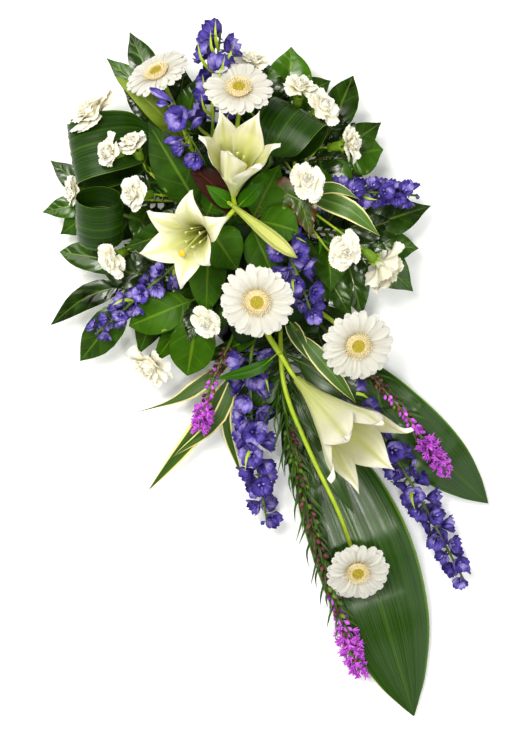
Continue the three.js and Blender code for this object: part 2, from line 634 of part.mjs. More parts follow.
// Leafy branches: the route of the woody stem, then each leaf from its base on the stem to its tip
const branches = {
  salal_top_left: {
    kind: "salal", stem: [[-51, 82, 28], [-77, 130, 50], [-106, 176, 56]],
    leaves: [
      { from: 0.62, tip: [-168, 222, 66], width: 38 },
      { from: 0.98, tip: [-140, 254, 58], width: 36 },
      { from: 0.9, tip: [-87, 232, 60], width: 34 },
      { from: 0.52, tip: [-55, 198, 84], width: 38 },
    ],
  },
  salal_top_right: {
    kind: "salal", stem: [[-4, 96, 25], [30, 138, 48], [60, 172, 55]],
    leaves: [
      { from: 0.88, tip: [56, 236, 60], width: 56 },
      { from: 0.98, tip: [133, 205, 60], width: 52 },
      { from: 0.7, tip: [18, 222, 62], width: 43 },
      { from: 0.78, tip: [112, 158, 62], width: 43 },
    ],
  },
  salal_right: {
    kind: "salal", stem: [[16, 82, 30], [79, 98, 52], [122, 106, 58]],
    leaves: [
      { from: 0.87, tip: [165, 144, 62], width: 47 },
      { from: 0.95, tip: [168, 112, 52], width: 58 },
      { from: 0.7, tip: [128, 52, 62], width: 47 },
    ],
  },
  salal_lower_right: {
    kind: "salal", stem: [[38, 6, 30], [103, 12, 50], [150, -4, 52]],
    leaves: [
      { from: 0.72, tip: [226, 44, 46], width: 47 },
      { from: 0.98, tip: [211, -8, 50], width: 38 },
      { from: 0.88, tip: [205, -60, 42], width: 47 },
      { from: 0.68, tip: [160, -102, 44], width: 56 },
      { from: 0.55, tip: [104, -62, 72], width: 47 },
    ],
  },
  salal_lower_left: {
    kind: "salal", stem: [[-46, -24, 28], [-94, -37, 50], [-137, -51, 52]],
    leaves: [
      { from: 0.97, tip: [-242, -92, 36], width: 52 },
      { from: 0.82, tip: [-202, -145, 32], width: 58 },
      { from: 0.9, tip: [-232, -10, 46], width: 54 },
      { from: 0.64, tip: [-116, -122, 42], width: 47 },
    ],
  },
  salal_left: {
    kind: "salal", stem: [[-73, 53, 26], [-133, 48, 44], [-184, 50, 46]],
    leaves: [
      { from: 0.98, tip: [-247, 36, 48], width: 29 },
      { from: 0.93, tip: [-237, 99, 50], width: 31 },
      { from: 0.86, tip: [-226, 10, 36], width: 40 },
      { from: 0.7, tip: [-181, 124, 44], width: 47 },
    ],
  },
  salal_low: {
    kind: "salal", stem: [[-26, -53, 42], [-42, -60, 70], [-54, -70, 86]],
    leaves: [
      { from: 0.88, tip: [-140, -103, 78], width: 58 },
      { from: 0.97, tip: [-70, -163, 66], width: 60 },
      { from: 0.62, tip: [-104, -139, 50], width: 52 },
    ],
  },
  salal_centre: {
    kind: "salal", stem: [[-30, 4, 45], [-42, 10, 84], [-50, 30, 100]],
    leaves: [
      { from: 0.97, tip: [-115, 138, 124], width: 56 },
      { from: 0.85, tip: [-146, -15, 104], width: 47 },
      { from: 0.65, tip: [-47, -94, 94], width: 47 },
      { from: 0.8, tip: [-8, -38, 108], width: 56 },
      { from: 0.9, tip: [-18, 88, 108], width: 49 },
    ],
  },
  bronze_leaves: {
    kind: "bronze", stem: [[1, 14, 45], [5, 18, 84], [10, 26, 104]],
    leaves: [
      { from: 0.97, tip: [-72, 92, 122], width: 44 },
      { from: 0.85, tip: [84, 10, 108], width: 52 },
      { from: 0.95, tip: [62, -16, 128], width: 56 },
      { from: 0.8, tip: [42, 90, 100], width: 46 },
      { from: 0.75, tip: [40, -58, 98], width: 46 },
      { from: 0.68, tip: [96, -30, 92], width: 44 },
    ],
  },
  dracaena_right: {
    kind: "variegated", stem: [[28, 45, 36], [50, 52, 76], [64, 58, 98]],
    leaves: [
      { from: 0.97, tip: [162, 3, 118], width: 46 },
      { from: 0.85, tip: [132, 38, 128], width: 26 },
    ],
  },
  dracaena_left: {
    kind: "variegated", stem: [[6, -78, 30], [-4, -116, 48], [-9, -150, 52]],
    leaves: [
      { from: 0.84, tip: [-130, -207, 34], width: 26, outline: "lance", arch: 0.03 },
      { from: 0.97, tip: [-119, -304, 20], width: 30, outline: "lance" },
      { from: 0.95, tip: [-12, -281, 26], width: 18, outline: "lance" },
    ],
  },
  dracaena_tail: {
    kind: "variegated", stem: [[38, -71, 50], [50, -92, 72], [60, -106, 82]],
    leaves: [
      { from: 0.87, tip: [107, -172, 76], width: 28, outline: "lance" },
      { from: 0.97, tip: [176, -204, 66], width: 20, outline: "lance" },
    ],
  },
  ruscus_tail: {
    kind: "ruscus", stem: [[28, -85, 28], [47, -132, 54], [67, -195, 54], [80, -262, 56]],
    leaves: [
      { from: 0.33, tip: [187, -202, 64], width: 50 },
      { from: 0.45, tip: [108, -280, 58], width: 26, outline: "lance" },
      { from: 0.55, tip: [58, -305, 50], width: 20, outline: "lance" },
      { from: 0.36, tip: [-18, -200, 38], width: 22, outline: "lance" },
      { from: 0.82, tip: [132, -330, 66], width: 24, outline: "lance" },
      { from: 0.97, tip: [88, -350, 52], width: 20, outline: "lance" },
    ],
  },
};
const branchSteps = 3;

function branch({ stem, leaves }, grow = 0) {
  return join([
    stalk(stem, stemRadius.branch, { steps: branchSteps, sides: 4, grow }),
    ...leavesOn(stem, branchSteps, leaves, grow),
  ]);
}

// Tray and foam are drawn along +X and turned to the tail
const toTail = (p) => p.applyAxisAngle(up, tailAngle);

function slab(length, width, corner, low, high) {
  const [x, y] = [length / 2 - corner, width / 2 - corner];
  const outline = new THREE.Shape();
  [[x, y, 0], [-x, y, 1], [-x, -y, 2], [x, -y, 3]].forEach(([cx, cy, quarter]) =>
    outline.absarc(cx, cy, corner, (quarter * Math.PI) / 2, ((quarter + 1) * Math.PI) / 2, false));
  const geometry = new THREE.ExtrudeGeometry(outline, { depth: high - low, bevelEnabled: false, curveSegments: 3 });
  return solidOf(geometry, (p) => toTail(p.setZ(p.z + low)));
}

// Low prongs of the tray spike the underside of the foam
function prongs(grow = 0) {
  return Array.from({ length: tray.prongs }, (_, k) => {
    const x = foam.length * 0.3 * (k % 2 ? 1 : -1);
    const y = foam.width * 0.26 * (k < 2 ? 1 : -1);
    const profile = [[0, -1], [tray.prongRadius, -1], [1, tray.prongHeight], [0, tray.prongHeight]];
    return turned(profile, toTail(vec(x, y, tray.floor)), up, 6, grow);
  });
}

function traySolid() {
  const corner = tray.width * 0.42;
  const { length, width, height, wall, floor } = tray;
  const pocket = slab(length - 2 * wall, width - 2 * wall, corner - wall, floor, height + 1);
  return join([slab(length, width, corner, 0, height).subtract(pocket), ...prongs()]);
}

function foamSolid() {
  const brick = slab(foam.length, foam.width, foam.corner, tray.floor + gap, tray.floor + gap + foam.height);
  return join([brick]).subtract(join(prongs(gap)));
}

// Colours, roughness and gloss of each kind of piece
const finish = (color, roughness) => new THREE.MeshStandardMaterial({ color, roughness, metalness: 0 });
const finishes = {
  tray: finish("#1f3d2a", 0.45),
  foam: finish("#2f6b3c", 0.95),
  gerbera: finish("#f6f1e2", 0.55),
  lily: finish("#f2f0cf", 0.45),
  carnation: finish("#f7f3e6", 0.6),
  delphinium: finish("#4a3fae", 0.55),
  liatris: finish("#a04bb5", 0.6),
  stem: finish("#7fa51e", 0.5),
  calyx: finish("#6f9a22", 0.5),
  salal: finish("#2f5f17", 0.3),
  bronze: finish("#4f2a14", 0.35),
  variegated: finish("#6f9148", 0.35),
  ruscus: finish("#1d4212", 0.3),
  aspidistra: finish("#2b5a1c", 0.3),
};

// What stands for each piece: its name, its finish, its own solid and the fuller solid that others keep clear of
const pieces = [];
function add(name, kind, make, spec) {
  pieces.push({ name, kind, solid: make(spec), envelope: make(spec, gap) });
}
for (const [name, spec] of Object.entries(gerberas)) add(name, "gerbera", gerberaHead, spec);
for (const [name, spec] of Object.entries(lilies)) add(name, "lily", lilyBloom, spec);
const paired = Object.values(touchingCarnations).flat().map((number) => "carnation_" + number);
for (const [name, spec] of Object.entries(carnations)) {
  if (!paired.includes(name)) add(name, "carnation", carnationBloom, spec);
}
for (const [name, numbers] of Object.entries(touchingCarnations)) {
  add(name, "carnation", (pair, grow) => join(pair.map((one) => carnationBloom(one, grow))),
    numbers.map((number) => carnations["carnation_" + number]));
}
for (const [name, spec] of Object.entries(gerberas)) add(name + "_stem", "stem", gerberaStem, spec);
for (const [name, spec] of Object.entries(lilyStems)) add(name, "stem", lilyStem, spec);
for (const [name, spec] of Object.entries(carnationStems)) add(name, "calyx", carnationStem, spec);
for (const [name, spec] of Object.entries(delphiniums)) add(name, "delphinium", delphiniumSpike, spec);
for (const [name, spec] of Object.entries(liatris)) add(name, "liatris", liatrisSpike, spec);
for (const [name, spec] of Object.entries(rolledLeaves)) add(name, "aspidistra", rolledLeaf, spec);
for (const [name, spec] of Object.entries(flatLeaves)) add(name, "aspidistra", flatLeaf, spec);
for (const [name, spec] of Object.entries(branches)) add(name, spec.kind, branch, spec);
pieces.push({ name: "tray", kind: "tray", solid: traySolid() });
pieces.push({ name: "foam", kind: "foam", solid: foamSolid() });

const touches = (a, b) => [0, 1, 2].every((i) => a.min[i] < b.max[i] && b.min[i] < a.max[i]);
const largest = (solid) => solid.decompose().reduce((a, b) => (a.volume() > b.volume() ? a : b));

// Each piece is cut back from the envelopes of the ones before it, and scraps that come loose are dropped
const root = new THREE.Group();
const placed = [];
for (const { name, kind, solid, envelope } of pieces) {
  const box = solid.boundingBox();
  const near = placed.filter((other) => touches(box, other.box));
  const cut = near.length ? solid.subtract(join(near.map((other) => other.envelope))) : solid;
  const kept = largest(cut).simplify(0.01);
  if (envelope) placed.push({ envelope, box: envelope.boundingBox() });
  const mesh = kept.getMesh();
  const geometry = new THREE.BufferGeometry();
  const corners = new Float32Array(mesh.numVert * 3);
  for (let i = 0; i < mesh.numVert; i++) {
    corners.set(mesh.vertProperties.subarray(i * mesh.numProp, i * mesh.numProp + 3), i * 3);
  }
  geometry.setAttribute("position", new THREE.BufferAttribute(corners, 3));
  geometry.setIndex(new THREE.BufferAttribute(mesh.triVerts, 1));
  geometry.computeVertexNormals();
  const part = new THREE.Mesh(geometry, finishes[kind]);
  part.name = name;
  root.add(part);
}

export default root;
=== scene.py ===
# Single ended funeral spray: the looks of every flower, leaf and stem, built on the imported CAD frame.
# Specs are in millimetres and degrees, as in the CAD model; meshes are written in metres.
import math

import bpy
import numpy as np
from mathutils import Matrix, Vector


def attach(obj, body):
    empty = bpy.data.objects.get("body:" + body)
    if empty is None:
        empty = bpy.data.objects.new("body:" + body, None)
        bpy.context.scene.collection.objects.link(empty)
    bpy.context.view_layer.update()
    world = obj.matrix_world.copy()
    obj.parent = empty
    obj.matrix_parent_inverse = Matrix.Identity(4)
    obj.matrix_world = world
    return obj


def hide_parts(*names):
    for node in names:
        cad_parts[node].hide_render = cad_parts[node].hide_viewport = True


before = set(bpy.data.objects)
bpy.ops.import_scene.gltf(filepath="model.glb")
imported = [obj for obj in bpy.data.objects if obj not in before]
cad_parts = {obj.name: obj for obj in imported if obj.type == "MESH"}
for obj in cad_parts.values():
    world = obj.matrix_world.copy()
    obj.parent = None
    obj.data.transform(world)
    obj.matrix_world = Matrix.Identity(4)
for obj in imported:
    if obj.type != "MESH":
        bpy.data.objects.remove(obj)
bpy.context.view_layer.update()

mm = 0.001
up = np.array([0.0, 0.0, 1.0])
fullTurn = 2 * math.pi
goldenAngle = math.pi * (3 - math.sqrt(5))
tableClearance = 3  # nothing of the spray lies lower than this over the table
dice = np.random.default_rng(11)  # one seed, so each run is the same


# Directions and lines

def unit(v):
    v = np.asarray(v, float)
    return v / (np.linalg.norm(v, axis=-1, keepdims=True) + 1e-12)


def facing(azimuth, tilt):  # the way a bloom looks: azimuth from +X, tilt from straight up
    a, t = math.radians(azimuth), math.radians(tilt)
    return np.array([math.sin(t) * math.cos(a), math.sin(t) * math.sin(a), math.cos(t)])


def crossAxes(direction):
    helper = up if abs(direction[2]) < 0.95 else np.array([1.0, 0, 0])
    across = unit(np.cross(helper, direction))
    return across, np.cross(direction, across)


def spokeAt(u, w, angle):
    return u * math.cos(angle) + w * math.sin(angle)


def fanOf(u, w, angles):
    return np.cos(angles)[:, None] * u + np.sin(angles)[:, None] * w


def turnAbout(v, axis, angle):
    return v * math.cos(angle) + np.cross(axis, v) * math.sin(angle) + axis * (axis @ v) * (1 - math.cos(angle))


def route(points, count):  # evenly spaced points on a smooth curve through the given ones
    p = np.array(points, float)
    p = np.vstack([2 * p[0] - p[1], p, 2 * p[-1] - p[-2]])
    s = np.linspace(0, 1, 24, endpoint=False)[:, None]
    fine = []
    for k in range(1, len(p) - 2):
        a, b, c, d = p[k - 1:k + 3]
        ab, bc, cd = (max(np.linalg.norm(q - r), 1e-6) ** 0.5 for q, r in ((b, a), (c, b), (d, c)))
        leave = ((b - a) / ab - (c - a) / (ab + bc) + (c - b) / bc) * bc
        reach = ((c - b) / bc - (d - b) / (bc + cd) + (d - c) / cd) * bc
        fine.append((2 * s**3 - 3 * s**2 + 1) * b + (s**3 - 2 * s**2 + s) * leave
                    + (3 * s**2 - 2 * s**3) * c + (s**3 - s**2) * reach)
    fine = np.vstack([*fine, p[-2:-1]])
    along = np.concatenate([[0], np.cumsum(np.linalg.norm(np.diff(fine, axis=0), axis=1))])
    even = np.linspace(0, along[-1], count)
    return np.stack([np.interp(even, along, fine[:, i]) for i in range(p.shape[1])], -1)


def pick(line, share):  # the point at that share of a line
    where = np.clip(share, 0, 1) * (len(line) - 1)
    low = int(min(where, len(line) - 2))
    return line[low] + (line[low + 1] - line[low]) * (where - low)


def pickWay(line, share, step):  # that point and the way ahead there
    return pick(line, share), unit(pick(line, share + step) - pick(line, share - step))


def lengthOf(line):
    return float(np.linalg.norm(np.diff(line, axis=0), axis=1).sum())


def keepUp(points, low=tableClearance):
    points[..., 2] = np.maximum(points[..., 2], low)


# Meshes: grids of points in mm, gathered into one piece

class Shape:
    def __init__(self):
        self.points, self.quads, self.uvs, self.slots, self.tints = [], [], [], [], []
        self.total = 0

    def grid(self, points, slot=0, tint=0.5, around=False, flip=False):
        points = np.asarray(points, float)
        rows, columns = points.shape[:2]
        wide = columns + 1 if around else columns
        i, j = np.meshgrid(np.arange(rows - 1), np.arange(wide - 1), indexing="ij")
        corners = [(i, j), (i, j + 1), (i + 1, j + 1), (i + 1, j)]
        if flip:
            corners.reverse()
        index = np.stack([a * columns + b % columns for a, b in corners], -1).reshape(-1, 4)
        uv = np.stack([np.stack([b / (wide - 1), a / (rows - 1)], -1) for a, b in corners], 2).reshape(-1, 4, 2)
        self.quads.append(index + self.total)
        self.uvs.append(uv)
        self.slots.append(np.full(len(index), slot))
        self.tints.append(np.full(rows * columns, tint))
        self.points.append(points.reshape(-1, 3))
        self.total += rows * columns

    def sheet(self, top, thick, slot, under, tint):  # a thin blade with a face on each side
        normal = unit(np.cross(np.gradient(top, axis=1), np.gradient(top, axis=0)))
        shares = 0.4 + 0.6 * np.sin(np.linspace(0, math.pi, top.shape[1])) ** 0.5
        self.grid(top, slot, tint)
        self.grid(top - normal * thick * shares[None, :, None], under, tint, flip=True)

    def tube(self, line, radius, sides, slot, tint=0.5):
        line = np.asarray(line, float)
        radius = np.concatenate([[0.02], np.broadcast_to(radius, len(line)), [0.02]])
        way = unit(np.gradient(line, axis=0))
        line, way = (np.vstack([v[:1], v, v[-1:]]) for v in (line, way))
        angles = np.linspace(0, fullTurn, sides, endpoint=False)
        across = crossAxes(way[0])[0]
        rings = []
        for at, ahead, r in zip(line, way, radius):
            across = unit(across - ahead * (across @ ahead))
            rings.append(at + r * fanOf(across, np.cross(ahead, across), angles))
        self.grid(rings, slot, tint, around=True)

    def bead(self, foot, tip, radius, sides, rings, slot, tint, swell=0.5):  # a bud, anther or scale
        foot, tip = np.asarray(foot, float), np.asarray(tip, float)
        t = np.linspace(0, 1, rings)
        skew = t ** (math.log(0.5) / math.log(swell))
        girth = radius * np.sin(math.pi * np.clip(skew, 0.04, 0.97))
        self.tube(foot + (tip - foot) * t[:, None], girth, sides, slot, tint)

    def turned(self, profile, foot, axis, sides, slot, tint, lobes=0, lobeDepth=0.0):
        angles = np.linspace(0, fullTurn, sides, endpoint=False)
        reach = 1 + lobeDepth * np.cos(lobes * angles)[:, None]
        rings = [foot + axis * h + r * reach * fanOf(*crossAxes(axis), angles) for r, h in profile]
        self.grid(rings, slot, tint, around=True)

    def make(self, name, keys, node):
        mesh = bpy.data.meshes.new(name)
        points = np.vstack(self.points) * mm
        quads = np.vstack(self.quads)
        mesh.from_pydata(points.tolist(), [], quads.tolist())
        mesh.uv_layers.new(name="blade").uv.foreach_set("vector", np.vstack(self.uvs).ravel().astype(np.float32))
        mesh.attributes.new("tint", "FLOAT", "POINT").data.foreach_set("value", np.concatenate(self.tints))
        mesh.polygons.foreach_set("material_index", np.concatenate(self.slots).astype(np.int32))
        mesh.polygons.foreach_set("use_smooth", np.ones(len(quads), bool))
        for key in keys.split():
            mesh.materials.append(finishes[key])
        piece = bpy.data.objects.new(name, mesh)
        bpy.context.scene.collection.objects.link(piece)
        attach(piece, "root")
        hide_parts(node)


# Finishes

def linear(hexColour):  # sRGB hex to the linear colour that Blender works in
    parts = [int(hexColour[i:i + 2], 16) / 255 for i in (1, 3, 5)]
    return (*[c / 12.92 if c <= 0.04045 else ((c + 0.055) / 1.055) ** 2.4 for c in parts], 1.0)


def add(tree, kind, *inputs, at=(), out=0, stops=(), **settings):  # a node with its settings and links; one output
    made = tree.nodes.new("ShaderNode" + kind)
    for key, value in settings.items():
        setattr(made, key, value)
    for key, value in {**dict(enumerate(inputs)), **dict(at)}.items():
        if isinstance(value, bpy.types.NodeSocket):
            tree.links.new(value, made.inputs[key])
        else:
            made.inputs[key].default_value = value
    if stops:
        ramp = made.color_ramp.elements
        for place, colour in stops[:-2]:
            ramp.new(place)
        for element, (place, colour) in zip(ramp, stops):
            element.position = place
            element.color = linear(colour)
    return made.outputs[out]


def newFinish(name, **sockets):  # a material whose plain numbers stand on the shader's own sockets
    made = bpy.data.materials.new(name)
    made.use_nodes = True
    for key, value in sockets.items():
        made.node_tree.nodes["Principled BSDF"].inputs[key.replace("_", " ")].default_value = value
    return made, made.node_tree


def dress(made, relief=None, depth=0.0, **outputs):  # what feeds the shader, with a relief depth millimetres deep
    tree = made.node_tree
    if relief:
        outputs["Normal"] = add(tree, "Bump", reliefStrength, depth * mm, at={"Height": relief})
    for key, value in outputs.items():
        tree.links.new(value, tree.nodes["Principled BSDF"].inputs[key.replace("_", " ")])
    return made


def bladeCoordinates(tree):  # how far across (0 midrib, 1 edge), raw across, how far along, and the blade's own tint
    raw, along, _ = add(tree, "SeparateXYZ", add(tree, "UVMap", uv_map="blade")).node.outputs
    centred = add(tree, "Math", raw, 0.5, operation="SUBTRACT")
    absolute = add(tree, "Math", centred, operation="ABSOLUTE")
    across = add(tree, "Math", absolute, 2.0, operation="MULTIPLY")
    return across, raw, along, add(tree, "Attribute", out="Fac", attribute_name="tint")


def spotsOf(tree, grain, detail=3.0):  # spots about grain millimetres across, fixed to the piece
    place = add(tree, "TexCoord", out="Object")
    return add(tree, "TexNoise", place, at={"Scale": 1 / (grain * mm), "Detail": detail})


reliefStrength = 0.6
netVeins = {"count": 7, "slant": 0.9, "show": 0.4}


# A net veined leaf: waxy cuticle over two greens, a pale midrib and slanting side veins that sink into the face
def leafFinish(name, deep, light, vein, roughness=0.25, edge=None, specular=0.42):
    made, tree = newFinish(name, IOR=1.45, Specular_IOR_Level=specular)
    across, _, along, tint = bladeCoordinates(tree)
    spots = spotsOf(tree, 22)
    count = add(tree, "Math", along, netVeins["count"], operation="MULTIPLY")
    lean = add(tree, "Math", across, netVeins["slant"], operation="MULTIPLY")
    phase = add(tree, "Math", count, lean, operation="SUBTRACT")
    part = add(tree, "Math", phase, operation="FRACT")
    centred = add(tree, "Math", part, 0.5, operation="SUBTRACT")
    ridge = add(tree, "Math", centred, operation="ABSOLUTE")
    sideLine = add(tree, "MapRange", ridge, 0.43, 0.5, 0.0, 0.3)
    midLine = add(tree, "MapRange", across, 0.09, 0.03, 0.0, 1.0)
    lines = add(tree, "Math", sideLine, midLine, operation="MAXIMUM")
    mixBy = add(tree, "Math", tint, 0.55, -0.1, operation="MULTIPLY_ADD")
    blend = add(tree, "Math", spots, 0.7, mixBy, operation="MULTIPLY_ADD")
    colour = add(tree, "ValToRGB", blend, stops=[(0.2, deep), (0.85, light)])
    if edge:
        rim = add(tree, "MapRange", across, 0.35, 1.0, 0.0, 0.9)
        colour = add(tree, "Mix", rim, at={6: colour, 7: linear(edge)}, out=2, data_type="RGBA")
    show = add(tree, "Math", lines, netVeins["show"], operation="MULTIPLY")
    colour = add(tree, "Mix", show, at={6: colour, 7: linear(vein)}, out=2, data_type="RGBA")
    gloss = add(tree, "MapRange", spots, 0.3, 0.7, roughness - 0.06, roughness + 0.1)
    valley = add(tree, "MapRange", ridge, 0.12, 0.5, interpolation_type="SMOOTHSTEP")
    groove = add(tree, "MapRange", across, 0.2, 0.0, interpolation_type="SMOOTHSTEP")
    deepest = add(tree, "Math", valley, groove, operation="MAXIMUM")
    quilt = add(tree, "Math", deepest, -1.0, spots, operation="MULTIPLY_ADD")
    return dress(made, quilt, 0.6, Base_Color=colour, Roughness=gloss)


# A strap leaf with veins that run its whole length: fine stripes along the blade, in colour and in relief
def strapFinish(name, deep, light, stripes, edge=None, edgeFrom=0.7, roughness=0.34, middle=None, relief=0.5,
                specular=0.42):
    made, tree = newFinish(name, IOR=1.45, Specular_IOR_Level=specular)
    across, raw, along, tint = bladeCoordinates(tree)
    wide = add(tree, "Math", raw, stripes, operation="MULTIPLY")
    long = add(tree, "Math", along, 1.6, operation="MULTIPLY")
    own = add(tree, "Math", tint, 40.0, operation="MULTIPLY")
    place = add(tree, "CombineXYZ", wide, long, own)
    streaks = add(tree, "TexNoise", place, at={"Scale": 1.0, "Detail": 2.0})
    mixBy = add(tree, "Math", tint, 0.5, -0.12, operation="MULTIPLY_ADD")
    blend = add(tree, "Math", streaks, 0.8, mixBy, operation="MULTIPLY_ADD")
    colour = add(tree, "ValToRGB", blend, stops=[(0.2, deep), (0.85, light)])
    midLine = add(tree, "MapRange", across, 0.07, 0.02, 0.0, 0.5)
    colour = add(tree, "Mix", midLine, at={6: colour, 7: linear(middle or light)}, out=2, data_type="RGBA")
    if edge:
        wobble = add(tree, "Math", streaks, 0.24, across, operation="MULTIPLY_ADD")
        rim = add(tree, "MapRange", wobble, edgeFrom + 0.12, edgeFrom + 0.2)
        colour = add(tree, "Mix", rim, at={6: colour, 7: linear(edge)}, out=2, data_type="RGBA")
    gloss = add(tree, "MapRange", streaks, 0.3, 0.7, roughness - 0.05, roughness + 0.1)
    return dress(made, streaks, relief, Base_Color=colour, Roughness=gloss)


# A petal: soft and slightly see-through tissue, coloured from its claw to its rim, with faint ribs along it
def petalFinish(name, stops, ribs, depth=0.25, roughness=0.5, glow=0.12, spread=2.0, speckle=0.1, midrib=None,
                rim=None):
    made, tree = newFinish(
        name, IOR=1.4, Subsurface_Weight=glow, Subsurface_Scale=spread * mm,
        Subsurface_Radius=(1.0, 0.9, 0.7), Sheen_Weight=0.08, Roughness=roughness)
    across, raw, along, tint = bladeCoordinates(tree)
    jitter = add(tree, "Math", spotsOf(tree, 5), 0.5, operation="SUBTRACT")
    own = add(tree, "Math", tint, 0.5, operation="SUBTRACT")
    both = add(tree, "Math", jitter, own, operation="ADD")
    shift = add(tree, "Math", both, speckle * 2, along, operation="MULTIPLY_ADD")
    colour = add(tree, "ValToRGB", shift, stops=stops)
    # the rim band darkens the petal's edge; on the white ray florets it is painted shade between the petals
    for over, ends in ((midrib, (0.3, 0.02, 0.0, 0.8)), (rim, (0.72, 1.0, 0.0, 0.6))):
        if over:
            band = add(tree, "MapRange", across, *ends)
            colour = add(tree, "Mix", band, at={6: colour, 7: linear(over)}, out=2, data_type="RGBA")
    turn = add(tree, "Math", raw, fullTurn * ribs, operation="MULTIPLY")
    wave = add(tree, "Math", turn, operation="SINE")
    return dress(made, wave, depth, Base_Color=colour)


# A juicy stem, calyx or bud scale: a thin waxy skin over two near colours with faint spots
def skinFinish(name, deep, light, grain=4.0, roughness=0.42, depth=0.15):
    made, tree = newFinish(name, IOR=1.42, Roughness=roughness)
    tint = add(tree, "Attribute", out="Fac", attribute_name="tint")
    spots = spotsOf(tree, grain)
    mixBy = add(tree, "Math", tint, 0.9, -0.25, operation="MULTIPLY_ADD")
    blend = add(tree, "Math", spots, 0.6, mixBy, operation="MULTIPLY_ADD")
    colour = add(tree, "ValToRGB", blend, stops=[(0.1, deep), (0.9, light)])
    return dress(made, spots, depth, Base_Color=colour)


# Floral foam: a pressed brick of fine open cells, soaked dark green, its colour darkened further towards black as
# painted shade, since it lies deep under the leaves
def foamFinish(name):
    made, tree = newFinish(name, IOR=1.35, Specular_IOR_Level=0.3)
    cells, patches = spotsOf(tree, 1.6, 6.0), spotsOf(tree, 30)
    blend = add(tree, "Math", cells, 0.5, patches, operation="MULTIPLY_ADD")
    colour = add(tree, "ValToRGB", blend, stops=[(0.35, "#0b1a08"), (1.0, "#2a461f")])
    gloss = add(tree, "MapRange", patches, 0.3, 0.7, 0.75, 0.95)
    return dress(made, cells, 1.2, Base_Color=colour, Roughness=gloss)


# Thin vacuum formed sheet: dark green, faintly pebbled, with a soft sheen
def trayFinish(name):
    made, tree = newFinish(name, IOR=1.5)
    clouds = spotsOf(tree, 40)
    colour = add(tree, "ValToRGB", clouds, stops=[(0.3, "#12261a"), (0.7, "#1a3524")])
    gloss = add(tree, "MapRange", clouds, 0.3, 0.7, 0.38, 0.52)
    return dress(made, spotsOf(tree, 1.2), 0.15, Base_Color=colour, Roughness=gloss)


